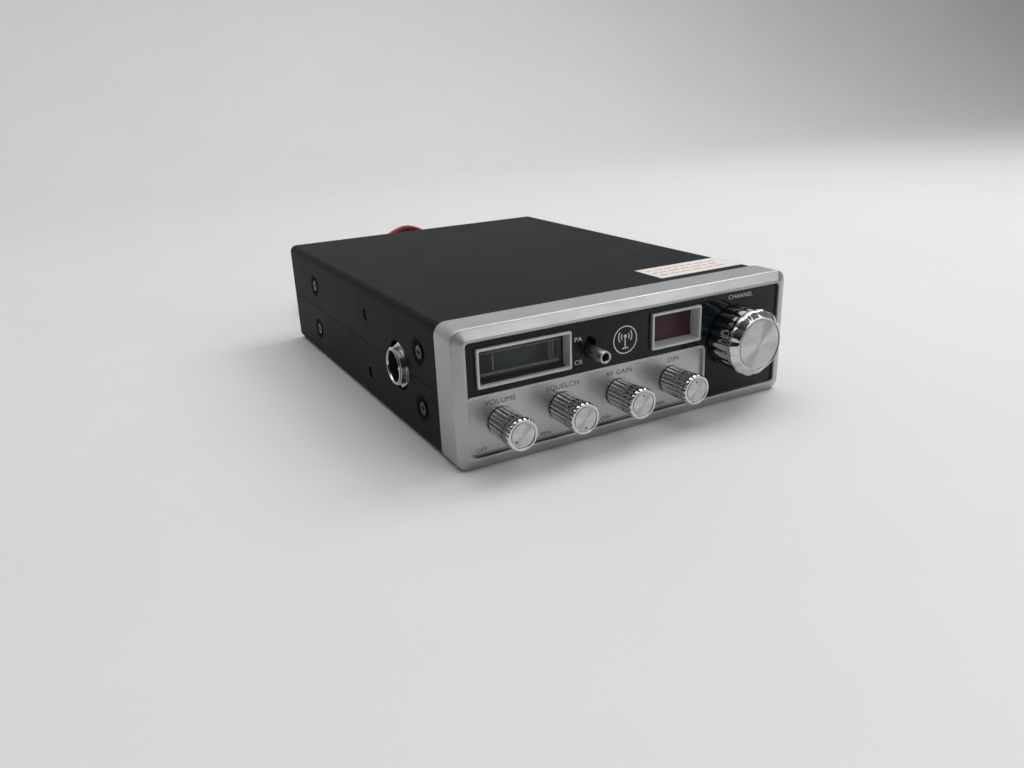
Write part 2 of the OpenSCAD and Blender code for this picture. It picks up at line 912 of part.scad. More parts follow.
module mic_socket_shell() {
    color("#cfd1d0") seat() difference() {
        union() {
            rod_x(mic_y, mic_z, mic_r, mic_x - mic_out, -rail_x - nut_t);
            rod_x(mic_y, mic_z, neck_r, -rail_x - nut_t, -rail_x + rail_t);
            rod_x(mic_y, mic_z, mic_r + 1.5, -rail_x + rail_t, -rail_x + rail_t + 2);
            rod_x(mic_y, mic_z, neck_r, -rail_x + rail_t + 2, -rail_x + rail_t + 6);
        }
        rod_x(mic_y, mic_z, mic_r - 1.2, mic_x - mic_out - 1, -rail_x + rail_t + 7);
    }
}

module mic_socket_insert() {
    color("#151617") seat() difference() {
        rod_x(mic_y, mic_z, mic_r - 1.2, insert_x, -rail_x + rail_t + 6);
        for (sy = [-1, 1], sz = [-1, 1]) {
            rod_x(mic_y + sy * pin_ring, mic_z + sz * pin_ring, 0.9, insert_x - 1, -rail_x + rail_t + 7);
        }
    }
}

module mic_socket_pins() {
    color("#d8d6cc") seat() {
        for (sy = [-1, 1], sz = [-1, 1]) {
            rod_x(mic_y + sy * pin_ring, mic_z + sz * pin_ring, 0.9, insert_x - 3.4, -rail_x + rail_t + 9);
        }
    }
}

// Rear sockets

module antenna_socket() {
    color("#cfd1d0") seat() difference() {
        union() {
            block(aerial_x - 12.5, aerial_x + 12.5, rear_face, rear_face + 2, aerial_z - 12.5, aerial_z + 12.5);
            rod_y(aerial_x, aerial_z, aerial_r, rear_in - 2, rear_face + aerial_out);
        }
        rod_y(aerial_x, aerial_z, aerial_r - 1.2, rear_in - 3, rear_face + aerial_out + 1);
    }
}

module antenna_insulator() {
    color("#e9e6dc") seat() difference() {
        rod_y(aerial_x, aerial_z, aerial_r - 1.2, rear_in - 2, rear_face + aerial_out - 1.5);
        rod_y(aerial_x, aerial_z, contact_r + 0.6, rear_in - 3, rear_face + aerial_out);
    }
}

module antenna_contact() {
    color("#d3b66a") seat() difference() {
        rod_y(aerial_x, aerial_z, contact_r + 0.6, rear_in - 5, rear_face + aerial_out - 1);
        rod_y(aerial_x, aerial_z, contact_r, rear_face + aerial_out - 11, rear_face + aerial_out);
    }
}

module jack_sockets() {
    color("#1a1b1c") seat() {
        for (x = jack_xs) difference() {
            union() {
                block(x - 4.5, x + 4.5, rear_in - 11, rear_in, jack_z - 4.5, jack_z + 4.5);
                rod_y(x, jack_z, 3, rear_in, rear_face + 2.6);
            }
            rod_y(x, jack_z, jack_r, rear_in - 9, rear_face + 4);
        }
    }
}

// Lead

module strain_relief() {
    x = lead_x - x_mid;
    color("#141515") seat() {
        rod_y(x, lead_z, 6.5, rear_in - 1.5, rear_in);
        rod_y(x, lead_z, 5, rear_in, rear_face);
        rod_y(x, lead_z, 6.5, rear_face, rear_face + 2);
        translate([x, rear_face + 2, lead_z]) rotate([-90, 0, 0]) {
            cylinder(r1 = 4.8, r2 = 3.2, h = relief_out - 2);
        }
    }
}

function unit(v) = v / norm(v);

function heading(p, i) = unit(p[min(i + 1, len(p) - 1)] - p[max(i - 1, 0)]);

function sideways(p, i) =
    let (t = heading(p, i))
    let (s = i == 0 ? cross(t, [0, 0, 1]) : sideways(p, i - 1))
    unit(s - (s * t) * t);

// A round tube through the places of a route
module tube(p, r) {
    sides = 8;
    last = len(p) - 1;
    places = [
        for (i = [0:last])
            let (t = heading(p, i), s = sideways(p, i), u = cross(t, s))
            for (k = [0:sides - 1]) p[i] + r * (cos(k * 360 / sides) * s + sin(k * 360 / sides) * u)
    ];
    skin = [
        for (i = [0:last - 1], k = [0:sides - 1])
            let (a = i * sides + k, b = i * sides + (k + 1) % sides)
            each [[a, a + sides, b], [b, a + sides, b + sides]]
    ];
    ends = [
        [for (k = [0:sides - 1]) k],
        [for (k = [sides - 1:-1:0]) last * sides + k],
    ];
    polyhedron(points = places, faces = concat(skin, ends));
}

module power_lead() {
    color("#a5151b") {
        tube(lead_route, lead_r);
        tube(tail_route, lead_r);
    }
}

module power_lead_coil() {
    color("#a5151b") translate([coil_at[0], coil_at[1], 0]) rotate_extrude() {
        polygon([
            [coil_in, 1.5],
            [coil_in + 1.5, 0],
            [coil_out - 1.5, 0],
            [coil_out, 1.5],
            [coil_out, coil_h - 1.5],
            [coil_out - 1.5, coil_h],
            [coil_in + 1.5, coil_h],
            [coil_in, coil_h - 1.5],
        ]);
    }
}

module fuse_holder() {
    color("#161717") difference() {
        rod_x(tail_y, tail_z, 5.5, fuse_x, fuse_x + 26);
        rod_x(tail_y, tail_z, lead_r + 0.1, fuse_x - 1, fuse_x + 27);
    }
}

module power_plug() {
    color("#e4e2d8") difference() {
        block(72, 88, tail_y - 6, tail_y + 6, 0, 9);
        for (sy = [-1, 1]) rod_x(tail_y + sy * 3, 4.5, 1.6, 80, 89);
    }
}

top_cover();
bottom_cover();
left_rail();
right_rail();
front_plate();
rear_panel();
front_bezel();
black_fascia();
control_plate();
display_window();
meter_case();
meter_lens();
meter_scale();
meter_pointer();
display_board();
display_digits();
main_board();
if_cans();
capacitors();
chips();
audio_transformer();
power_transistors();
speaker_basket();
speaker_magnet();
speaker_cone();
pot_bodies();
channel_switch_body();
mode_switch_body();
mode_lever();
panel_nuts();
mic_socket_shell();
mic_socket_insert();
mic_socket_pins();
antenna_socket();
antenna_insulator();
antenna_contact();
jack_sockets();
strain_relief();
power_lead();
power_lead_coil();
fuse_holder();
power_plug();
cover_screws();
chassis_screws();
top_label();
volume_knob();
volume_cap();
volume_shaft();
squelch_knob();
squelch_cap();
squelch_shaft();
gain_knob();
gain_cap();
gain_shaft();
dimmer_knob();
dimmer_cap();
dimmer_shaft();
channel_knob();
channel_cap();
channel_shaft();
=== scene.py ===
"""A mobile two-way radio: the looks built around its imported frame.

Sizes are in millimetres; mm() and at() turn them into metres in the row's frame.
x runs across from the left, y runs back from the front, z runs up.
"""
import contextlib
import math
import random

import bmesh
import bpy
from mathutils import Matrix, Vector

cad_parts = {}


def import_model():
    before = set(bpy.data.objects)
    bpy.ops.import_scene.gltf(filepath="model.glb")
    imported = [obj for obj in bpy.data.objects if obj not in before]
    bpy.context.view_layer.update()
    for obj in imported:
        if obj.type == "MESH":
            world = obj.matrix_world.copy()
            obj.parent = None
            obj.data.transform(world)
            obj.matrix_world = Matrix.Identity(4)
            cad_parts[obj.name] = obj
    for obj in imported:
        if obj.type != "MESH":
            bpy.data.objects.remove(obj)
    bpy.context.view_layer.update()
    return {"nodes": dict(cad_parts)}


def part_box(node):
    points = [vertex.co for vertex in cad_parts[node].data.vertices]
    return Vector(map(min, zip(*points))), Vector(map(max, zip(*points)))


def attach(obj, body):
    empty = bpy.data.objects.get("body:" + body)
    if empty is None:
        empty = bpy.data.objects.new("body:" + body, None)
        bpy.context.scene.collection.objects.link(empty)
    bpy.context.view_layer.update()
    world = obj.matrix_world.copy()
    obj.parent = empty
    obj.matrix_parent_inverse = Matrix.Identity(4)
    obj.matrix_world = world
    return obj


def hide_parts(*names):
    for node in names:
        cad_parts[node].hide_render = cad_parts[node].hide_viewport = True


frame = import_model()
nodes = frame["nodes"]
MM = 0.001
WELD = 2e-6

# The panel's own frame: x from the middle, y back from the bezel's rim, z up from the base
BEZEL_LOW, BEZEL_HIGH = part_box("front_bezel")
PANEL_X = (BEZEL_LOW.x + BEZEL_HIGH.x) / 2 / MM
PANEL_Y = BEZEL_LOW.y / MM + 0.3

BODY_W, BODY_H, BEZEL_D = 160, 54.5, 16
REAR_FACE = 216
BORDER = 5
SMALL_KNOBS = {"volume": -61, "squelch": -34.5, "gain": -8, "dimmer": 18.5}
CONTROL_Z = 16.8
KNOB_OUT, KNOB_BACK = 14.5, 1.2
CHANNEL_X, CHANNEL_Z, CHANNEL_OUT, CHANNEL_BACK = 50, 30.3, 15.5, 0.4
PLATE_X0, PLATE_X1, PLATE_TOP = -75, 34.5, 28
METER_X, METER_W, DISPLAY_X, DISPLAY_W = -51, 38, 19.5, 23
WINDOWS = ((METER_X, METER_W), (DISPLAY_X, DISPLAY_W))
WINDOW_Z, WINDOW_H, RIM_W, RIM_OUT = 39.2, 13, 1, 0.3
LEVER_X, LEVER_Z, LEVER_R, LEVER_TRAVEL, LEVER_OUT = -22, 37, 2.5, 3.2, 9.5
MIC_R = 8
AERIAL_X, AERIAL_Z = 56, 30
FASCIA_Y, PLATE_Y, LENS_Y, FILTER_Y = 1, 1.8, 3.0, 4.2
DRAFT = 1


def mm(x, y, z):
    """A place in the row's frame, from millimetres."""
    return Vector((x * MM, y * MM, z * MM))


def at(x, y, z):
    """A place on the panel, in metres in the row's frame."""
    return Vector(((x + PANEL_X) * MM, (y + PANEL_Y) * MM, z * MM))


def in_scene(name, data):
    """A new object in the scene."""
    piece = bpy.data.objects.new(name, data)
    bpy.context.scene.collection.objects.link(piece)
    return piece


# ---- camera

CAMERA_AT = (-188.83 * MM, -355.40 * MM, 133.60 * MM)
CAMERA_AZ, CAMERA_EL, CAMERA_ROLL = (math.radians(a) for a in (-28.099, 19.998, -2.432))
FOCAL_PX, FRAME_PX, SENSOR = 819.73, 1024, 36


def add_camera():
    back = Vector((
        math.sin(CAMERA_AZ) * math.cos(CAMERA_EL),
        -math.cos(CAMERA_AZ) * math.cos(CAMERA_EL),
        math.sin(CAMERA_EL),
    ))
    right = Vector((0, 0, 1)).cross(back).normalized()
    up = back.cross(right)
    c, s = math.cos(CAMERA_ROLL), math.sin(CAMERA_ROLL)
    right, up = c * right + s * up, c * up - s * right
    data = bpy.data.cameras.new("camera")
    data.sensor_width = SENSOR
    data.lens = FOCAL_PX / FRAME_PX * SENSOR
    data.clip_start = 0.01
    camera = in_scene("camera", data)
    turn = Matrix((right, up, back)).transposed().to_4x4()
    camera.matrix_world = Matrix.Translation(CAMERA_AT) @ turn
    bpy.context.scene.camera = camera


add_camera()
bpy.context.scene.view_settings.view_transform = "Standard"

# ---- materials


class Nodes:
    """Short ways to add nodes to a tree."""

    def __init__(self, tree):
        self.tree = tree

    def link(self, a, b):
        self.tree.links.new(a, b)

    def feed(self, target, value):
        if isinstance(value, (int, float, tuple)):
            target.default_value = value
        else:
            self.link(value, target)

    def math(self, how, a, b=0.0, c=0.0):
        node = self.tree.nodes.new("ShaderNodeMath")
        node.operation = how
        for socket, value in zip(node.inputs, (a, b, c)):
            self.feed(socket, value)
        return node.outputs[0]

    def between(self, value, low, high, a=0.0, b=1.0):
        """value's range low to high, stretched to a to b."""
        node = self.tree.nodes.new("ShaderNodeMapRange")
        self.link(value, node.inputs["Value"])
        for socket, number in zip(("From Min", "From Max", "To Min", "To Max"), (low, high, a, b)):
            node.inputs[socket].default_value = number
        return node.outputs["Result"]

    def mix(self, fac, a, b):
        node = self.tree.nodes.new("ShaderNodeMix")
        node.data_type = "RGBA"
        self.feed(node.inputs["Factor"], fac)
        for socket, value in ((6, a), (7, b)):
            self.feed(node.inputs[socket], tuple(value[:3]) + (1,) if isinstance(value, tuple) else value)
        return node.outputs[2]


class Finish(Nodes):
    """A node material on one Principled shader, with noise, bands and bumps."""

    def __init__(self, name, colour, metallic=0.0, rough=0.5, **sockets):
        self.mat = bpy.data.materials.new(name)
        self.mat.use_nodes = True
        super().__init__(self.mat.node_tree)
        self.shader = self.tree.nodes["Principled BSDF"]
        self.set("Base Color", tuple(colour) + (1,))
        self.set("Metallic", metallic)
        self.set("Roughness", rough)
        for socket, value in sockets.items():
            self.set(socket.replace("_", " "), value)
        self.place = self.tree.nodes.new("ShaderNodeTexCoord").outputs["Object"]

    def set(self, socket, value):
        self.shader.inputs[socket].default_value = value

    def moved(self, how, vector):
        node = self.tree.nodes.new("ShaderNodeVectorMath")
        node.operation = how
        self.link(self.place, node.inputs[0])
        node.inputs[1].default_value = vector
        return node.outputs[0]

    def axes(self, centre):
        """The offsets from centre along x, y and z."""
        place = self.moved("SUBTRACT", centre)
        split = self.tree.nodes.new("ShaderNodeSeparateXYZ")
        self.link(place, split.inputs[0])
        return split.outputs

    def noise(self, scale, detail=3.0, soft=0.6, stretch=(1, 1, 1)):
        node = self.tree.nodes.new("ShaderNodeTexNoise")
        node.inputs["Scale"].default_value = scale
        node.inputs["Detail"].default_value = detail
        node.inputs["Roughness"].default_value = soft
        self.link(self.moved("MULTIPLY", stretch), node.inputs["Vector"])
        return node.outputs["Fac"]

    def paint(self, value):
        self.link(value, self.shader.inputs["Base Color"])

    def tones(self, value, low, high, colour, a, b):
        """colour times a where value is low, times b where it is high."""
        return self.mix(self.between(value, low, high), shade(colour, a), shade(colour, b))

    def specks(self, value, low, high, amount, base, colour):
        """base, with colour laid over it by amount where value is high."""
        return self.mix(self.math("MULTIPLY", self.between(value, low, high), amount), base, colour)

    def roughen(self, value, *ranges):
        self.link(self.between(value, *ranges), self.shader.inputs["Roughness"])

    def bump(self, height, strength, distance, under=None):
        node = self.tree.nodes.new("ShaderNodeBump")
        node.inputs["Strength"].default_value = strength
        node.inputs["Distance"].default_value = distance
        self.link(height, node.inputs["Height"])
        if under is not None:
            self.link(under, node.inputs["Normal"])
        self.link(node.outputs[0], self.shader.inputs["Normal"])
        return node.outputs[0]

    def tangent_round(self, x, z):
        """Grain that runs round the y axis, from the offsets across it."""
        join = self.tree.nodes.new("ShaderNodeCombineXYZ")
        self.link(z, join.inputs["X"])
        self.link(self.math("MULTIPLY", x, -1.0), join.inputs["Z"])
        unit = self.tree.nodes.new("ShaderNodeVectorMath")
        unit.operation = "NORMALIZE"
        self.link(join.outputs[0], unit.inputs[0])
        turn = self.tree.nodes.new("ShaderNodeVectorTransform")
        turn.vector_type = "VECTOR"
        turn.convert_from = "OBJECT"
        turn.convert_to = "WORLD"
        self.link(unit.outputs[0], turn.inputs[0])
        self.link(turn.outputs[0], self.shader.inputs["Tangent"])


def shade(colour, k):
    return tuple(c * k for c in colour[:3])


def plain(name, colour, metallic=0.0, rough=0.5, grain=900, depth=0.00002, vary=0.12, smudge=0.1, **sockets):
    """A finish with soft colour variation, uneven gloss and a fine grain."""
    f = Finish(name, colour, metallic, rough, **sockets)
    f.paint(f.tones(f.noise(38, 4), 0.3, 0.7, colour, 1 - vary, 1 + vary))
    f.roughen(f.noise(120, 5, 0.7), 0.3, 0.7, max(0.02, rough - smudge), min(1, rough + smudge))
    f.bump(f.noise(grain, 2), 0.35, depth)
    return f


def cover_paint():
    """Black satin stove paint: fine orange peel, faint rub marks and dust."""
    colour = (0.0085, 0.0100, 0.0108)
    f = Finish("cover_paint", colour, 0, 0.55, Specular_IOR_Level=0.08)
    base = f.tones(f.noise(14, 4, 0.5), 0.3, 0.7, colour, 0.95, 1.05)
    base = f.specks(f.noise(48, 6, 0.75), 0.62, 0.8, 0.05, base, (0.040, 0.043, 0.044))
    f.paint(f.specks(f.noise(1500, 2, 0.5), 0.74, 0.8, 0.2, base, (0.12, 0.12, 0.115)))
    f.roughen(f.noise(45, 5, 0.7), 0.3, 0.7, 0.535, 0.575)
    under = f.bump(f.noise(2600, 2, 0.5), 0.45, 0.00006)
    f.bump(f.noise(420, 3, 0.6), 0.12, 0.00012, under)
    return f.mat


def silver_moulding(name="silver_moulding", colour=(0.44, 0.45, 0.445), metallic=0.72):
    """Satin silver on moulded plastic: faint brush lines, soft mottling and slight rubbing."""
    f = Finish(name, colour, metallic, 0.36)
    mottle = f.noise(55, 5, 0.6)
    lines = f.noise(1500, 3, 0.6, (0.03, 1, 1))
    level = f.math("ADD", f.math("MULTIPLY", mottle, 0.55), f.math("MULTIPLY", lines, 0.45))
    base = f.tones(level, 0.3, 0.7, colour, 0.9, 1.1)
    f.paint(f.specks(f.noise(170, 5, 0.75), 0.62, 0.8, 0.25, base, (0.27, 0.265, 0.255)))
    f.roughen(f.noise(90, 4, 0.7), 0.3, 0.7, 0.31, 0.43)
    under = f.bump(f.noise(3800, 2, 0.5), 0.22, 0.00003)
    f.bump(f.noise(210, 3, 0.5), 0.05, 0.00006, under)
    return f.mat


def brushed(name, colour, rough, stretch, streak=700):
    """Brushed metal: long fine lines along one way, with broad soft bands across."""
    f = Finish(name, colour, 0.9, rough)
    lines = f.noise(streak, 4, 0.65, stretch)
    f.paint(f.tones(lines, 0.25, 0.75, colour, 0.95, 1.05))
    f.roughen(f.noise(80, 4, 0.6), 0.3, 0.7, rough - 0.04, rough + 0.06)
    f.bump(lines, 0.3, 0.00002)
    return f.mat


def chrome():
    """Plated metal with a faint haze."""
    colour = (0.64, 0.65, 0.66)
    f = Finish("chrome", colour, 1, 0.08)
    f.paint(f.tones(f.noise(260, 5, 0.7), 0.35, 0.75, colour, 1.04, 0.9))
    f.roughen(f.noise(500, 4, 0.7), 0.35, 0.75, 0.05, 0.16)
    f.bump(f.noise(240, 2), 0.05, 0.00003)
    return f.mat


SPUN_PITCH = 0.22 * MM


def spun(name, centre):
    """Aluminium turned about the y axis: fine rings whose glint sweeps round as a fan."""
    colour = (0.60, 0.60, 0.59)
    f = Finish(name, colour, 1, 0.42, Anisotropic=0.9)
    x, _, z = f.axes(centre)
    radius = f.math("SQRT", f.math("ADD", f.math("MULTIPLY", x, x), f.math("MULTIPLY", z, z)))
    rings = f.math("SINE", f.math("MULTIPLY", radius, 2 * math.pi / SPUN_PITCH))
    f.paint(f.tones(f.noise(300, 4, 0.7), 0.35, 0.7, colour, 1.03, 0.92))
    f.roughen(rings, -1, 1, 0.38, 0.46)
    f.bump(rings, 0.25, 0.00001)
    f.tangent_round(x, z)
    return f.mat


def gloss_black():
    """Screen-printed gloss panel: deep black-green, fine dust and hairline scratches."""
    colour = (0.0075, 0.0105, 0.0125)
    f = Finish("gloss_black", colour, 0, 0.14, Specular_IOR_Level=0.2)
    base = f.specks(f.noise(1900, 2, 0.5), 0.76, 0.82, 0.3, colour, (0.2, 0.2, 0.19))
    f.paint(f.specks(f.noise(330, 5, 0.8, (0.25, 1, 1.6)), 0.66, 0.7, 0.05, base, (0.12, 0.13, 0.13)))
    f.roughen(f.noise(150, 4, 0.7), 0.3, 0.75, 0.08, 0.2)
    f.bump(f.noise(60, 3), 0.06, 0.0002)
    return f.mat


def clear_lens():
    colour = (0.02, 0.024, 0.023)
    f = Finish("clear_lens", colour, 0, 0.05, IOR=1.5, Alpha=0.3)
    f.paint(f.mix(f.between(f.noise(120, 4, 0.6), 0.4, 0.8), colour, (0.04, 0.045, 0.043)))
    f.roughen(f.noise(260, 5, 0.7), 0.3, 0.8, 0.03, 0.1)
    f.bump(f.noise(90, 3), 0.03, 0.0001)
    return f.mat


def red_filter():
    colour = (0.042, 0.008, 0.014)
    f = Finish("red_filter", colour, 0, 0.3, Specular_IOR_Level=0.3)
    f.paint(f.tones(f.noise(70, 4), 0.3, 0.7, colour, 0.85, 1.15))
    f.roughen(f.noise(60, 3, 0.5), 0.3, 0.75, 0.28, 0.34)
    f.bump(f.noise(300, 2), 0.02, 0.00001)
    return f.mat


MAT = {
    "cover_paint": cover_paint(),
    "silver_moulding": silver_moulding(),
    # The rims' silver: a less metallic finish than the bezel's, and a lighter colour that is painted light,
    # so the rims and recess walls read bright.
    "silver_frame": silver_moulding("silver_frame", (0.54, 0.55, 0.545), 0.4),
    "gloss_black": gloss_black(),
    "clear_lens": clear_lens(),
    "red_filter": red_filter(),
    "chrome": chrome(),
    "brushed_aluminium": brushed("brushed_aluminium", (0.46, 0.47, 0.46), 0.34, (1, 1, 0.03), 1600),
    "zinc_steel": brushed("zinc_steel", (0.52, 0.53, 0.52), 0.4, (1, 0.08, 1), 400),
}
# colour, metallic, roughness, then the grain's scale and depth, the colour's variation and the gloss's
PLAIN = {
    "speaker_steel": ((0.40, 0.41, 0.40), 0.9, 0.42),
    "can_metal": ((0.60, 0.61, 0.60), 0.95, 0.33),
    "rear_paint": ((0.030, 0.032, 0.032), 0, 0.5, 2200, 0.00006, 0.18, 0.08),
    "black_plastic": ((0.018, 0.018, 0.02), 0, 0.42),
    "black_rubber": ((0.016, 0.016, 0.016), 0, 0.62, 1800, 0.00005),
    "black_screws": ((0.010, 0.010, 0.011), 0, 0.34, 1500, 0.00002),
    "nickel": ((0.66, 0.655, 0.62), 1, 0.16, 700, 0.00001, 0.08, 0.07),
    "silver_pins": ((0.86, 0.84, 0.78), 0.6, 0.32, 700, 0.00001, 0.08, 0.05),
    "ptfe": ((0.80, 0.79, 0.73), 0, 0.4, 900, 0.00002, 0.04, 0.08),
    "brass_contact": ((0.72, 0.52, 0.22), 1, 0.22, 700, 0.00001),
    "green_board": ((0.03, 0.12, 0.05), 0, 0.35),
    "board_resin": ((0.30, 0.21, 0.08), 0, 0.45),
    "digit_block": ((0.03, 0.015, 0.018), 0, 0.25),
    "capacitor_sleeve": ((0.02, 0.05, 0.13), 0, 0.3),
    "chip_black": ((0.016, 0.016, 0.017), 0, 0.5),
    "transformer_core": ((0.16, 0.10, 0.05), 0.4, 0.45),
    "magnet_ferrite": ((0.05, 0.05, 0.052), 0, 0.6),
    "cone_paper": ((0.028, 0.026, 0.024), 0, 0.85, 1600, 0.00008),
    "scale_print": ((0.088, 0.104, 0.108), 0, 0.5, 160, 0.000001, 0.12),
    "needle_white": ((0.82, 0.82, 0.78), 0, 0.4, 900, 0.00001, 0.04),
    "red_pvc": ((0.42, 0.012, 0.018), 0, 0.36, 1300, 0.00004, 0.1, 0.08),
    "black_pvc": ((0.016, 0.016, 0.017), 0, 0.4, 1300, 0.00004, 0.2, 0.08),
    "plug_nylon": ((0.74, 0.73, 0.66), 0, 0.42, 900, 0.00003, 0.06, 0.08),
    "label_paper": ((0.80, 0.77, 0.73), 0, 0.38, 1200, 0.00002, 0.04, 0.1),
    "label_ink": ((0.62, 0.27, 0.27), 0, 0.5, 2400, 0.00001, 0.3),
    "white_ink": ((0.66, 0.67, 0.66), 0, 0.45, 2400, 0.00001, 0.12),
    "dark_ink": ((0.022, 0.024, 0.026), 0, 0.45, 2400, 0.00001, 0.3),
    "teal_ink": ((0.08, 0.23, 0.23), 0, 0.5, 2400, 0.00001, 0.2),
    "orange_ink": ((0.46, 0.11, 0.045), 0, 0.5, 2400, 0.00001, 0.2),
    "meter_mask": ((0.10, 0.11, 0.105), 0, 0.4, 900, 0.00001, 0.1),
    # painted shade: the dark sheet lining the meter recess's shaded walls
    "meter_seal": ((0.024, 0.026, 0.026), 0, 0.45, 900, 0.00001, 0.1),
    "satin_nickel": ((0.42, 0.425, 0.42), 1, 0.3, 900, 0.00001, 0.08, 0.06),
    # painted highlight: the grey strips at the meter window's edges
    "meter_grey": ((0.52, 0.53, 0.50), 0, 0.45, 900, 0.00001, 0.1),
}
SCATTER = {"ptfe": 0.1, "plug_nylon": 0.08}
for name, values in PLAIN.items():
    inside = {"Subsurface_Weight": SCATTER[name]} if name in SCATTER else {}
    MAT[name] = plain(name, *values, **inside).mat

# ---- shapes


def add_piece(name, mesh, mat, body="root", replaces=(), slot=None, smooth=35):
    for material in (mat if isinstance(mat, (list, tuple)) else [mat]):
        mesh.materials.append(MAT[material] if isinstance(material, str) else material)
    piece = in_scene(name, mesh)
    if smooth:
        mesh.shade_smooth()
        mesh.set_sharp_from_angle(angle=math.radians(smooth))
    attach(piece, body)
    if replaces:
        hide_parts(*replaces)
    return piece


@contextlib.contextmanager
def editing(mesh):
    """A bmesh of the mesh, written back at the end."""
    work = bmesh.new()
    work.from_mesh(mesh)
    yield work
    work.to_mesh(mesh)
    work.free()


def evaluated(piece):
    """A new mesh of the piece, with its modifiers applied or its curve filled."""
    graph = bpy.context.evaluated_depsgraph_get()
    graph.update()
    shown = piece.evaluated_get(graph)
    return bpy.data.meshes.new_from_object(shown, preserve_all_data_layers=True, depsgraph=graph)


def new_mesh(name, verts, faces):
    mesh = bpy.data.meshes.new(name)
    mesh.from_pydata([tuple(v) for v in verts], [], faces)
    with editing(mesh) as work:
        bmesh.ops.recalc_face_normals(work, faces=work.faces)
    mesh.validate()
    return mesh


def apply_modifiers(piece):
    mesh = evaluated(piece)
    piece.modifiers.clear()
    piece.data = mesh
    return piece


def soften(piece, width=0.3, segments=2, angle=38):
    """Rounds a piece's hard edges by width millimetres."""
    edge = piece.modifiers.new("edge", "BEVEL")
    edge.width = width * MM
    edge.segments = segments
    edge.limit_method = "ANGLE"
    edge.angle_limit = math.radians(angle)
    edge.use_clamp_overlap = True
    edge.harden_normals = False
    apply_modifiers(piece)
    piece.data.shade_smooth()
    piece.data.set_sharp_from_angle(angle=math.radians(42))
    even = piece.modifiers.new("even", "WEIGHTED_NORMAL")
    even.weight = 90
    even.keep_sharp = True
    return apply_modifiers(piece)


def from_cad(node, mat, width=0.25, body="root", segments=2, angle=38):
    """A piece with a CAD node's own shape, welded and with its edges softened."""
    mesh = nodes[node].data.copy()
    mesh.materials.clear()
    with editing(mesh) as work:
        bmesh.ops.remove_doubles(work, verts=work.verts, dist=WELD)
        bmesh.ops.dissolve_limit(
            work, angle_limit=math.radians(1.2), verts=work.verts, edges=work.edges, delimit={"NORMAL"})
    piece = add_piece(node + "_skin", mesh, mat, body, (node,), smooth=40)
    return soften(piece, width, segments, angle) if width else piece


def lathe(name, rings, centre, axis, mat, body="root", sides=64, shape=None, replaces=(), slot=None,
          smooth=35, caps=True):
    """Turns (radius, along) pairs, in millimetres, about an axis through centre.

    shape(radius, along, angle) may change the radius. A radius of 0 at either end closes the form there.
    """
    along = {"x": Vector((1, 0, 0)), "y": Vector((0, 1, 0)), "z": Vector((0, 0, 1))}[axis]
    side = Vector((0, 0, 1)) if axis != "z" else Vector((1, 0, 0))
    other = along.cross(side)
    verts, faces, rows = [], [], []
    for radius, far in rings:
        if radius == 0:
            rows.append([len(verts)])
            verts.append(centre + along * far * MM)
            continue
        row = []
        for k in range(sides):
            angle = 2 * math.pi * k / sides
            r = shape(radius, far, angle) if shape else radius
            row.append(len(verts))
            out = (side * math.cos(angle) + other * math.sin(angle)) * r * MM
            verts.append(centre + along * far * MM + out)
        rows.append(row)
    for a, b in zip(rows, rows[1:]):
        for k in range(sides):
            n = (k + 1) % sides
            if len(a) == 1:
                faces.append((a[0], b[k], b[n]))
            elif len(b) == 1:
                faces.append((a[k], b[0], a[n]))
            else:
                faces.append((a[k], b[k], b[n], a[n]))
    if caps:
        for row, flip in ((rows[0], 1), (rows[-1], -1)):
            if len(row) > 1:
                faces.append(tuple(row[::flip]))
    return add_piece(name, new_mesh(name, verts, faces), mat, body, replaces, slot, smooth)


def arc_points(r, cx, cz, angles):
    """Points round (cx, cz) at angles in degrees."""
    return [(cx + r * math.cos(a), cz + r * math.sin(a)) for a in map(math.radians, angles)]


def rounded(w, h, r, cx=0.0, cz=0.0, steps=8):
    """A rounded rectangle about (cx, cz), as points in millimetres."""
    r = max(min(r, w / 2 - 0.001, h / 2 - 0.001), 0.02)
    points = []
    for k, (sx, sz) in enumerate(((1, 1), (-1, 1), (-1, -1), (1, -1))):
        angles = [90 * k + 90 * i / steps for i in range(steps + 1)]
        points += arc_points(r, cx + sx * (w / 2 - r), cz + sz * (h / 2 - r), angles)
    return points


def circle(r, cx, cz, steps=48):
    return [(cx + r * math.cos(2 * math.pi * k / steps), cz + r * math.sin(2 * math.pi * k / steps))
            for k in range(steps)]


def slab(name, outlines, y0, y1, mat, bevel=0.0, body="root", replaces=(), slot=None):
    """Flat outlines in x and z, the later ones holes in the first, from y0 to y1 on the panel."""
    data = bpy.data.curves.new(name, "CURVE")
    data.dimensions = "2D"
    data.fill_mode = "BOTH"
    data.extrude = ((y1 - y0) / 2 - bevel) * MM
    data.bevel_depth = bevel * MM
    data.bevel_resolution = 2
    data.offset = -bevel * MM
    for outline in outlines:
        spline = data.splines.new("POLY")
        spline.points.add(len(outline) - 1)
        for point, (x, z) in zip(spline.points, outline):
            point.co = (x * MM, z * MM, 0, 1)
        spline.use_cyclic_u = True
    return flat_piece(name, in_scene(name, data), (0, (y0 + y1) / 2, 0), mat, body, replaces, slot)


def flat_piece(name, source, place, mat, body, replaces=(), slot=None):
    """Stands a filled curve up on the panel, as a mesh."""
    mesh = evaluated(source)
    mesh.transform(Matrix.Translation(at(*place)) @ Matrix.Rotation(math.radians(90), 4, "X"))
    data = source.data
    bpy.data.objects.remove(source)
    bpy.data.curves.remove(data)
    mesh.materials.clear()
    with editing(mesh) as work:
        bmesh.ops.remove_doubles(work, verts=work.verts, dist=WELD)
        bmesh.ops.recalc_face_normals(work, faces=work.faces)
    return add_piece(name, mesh, mat, body, replaces, slot, smooth=30)


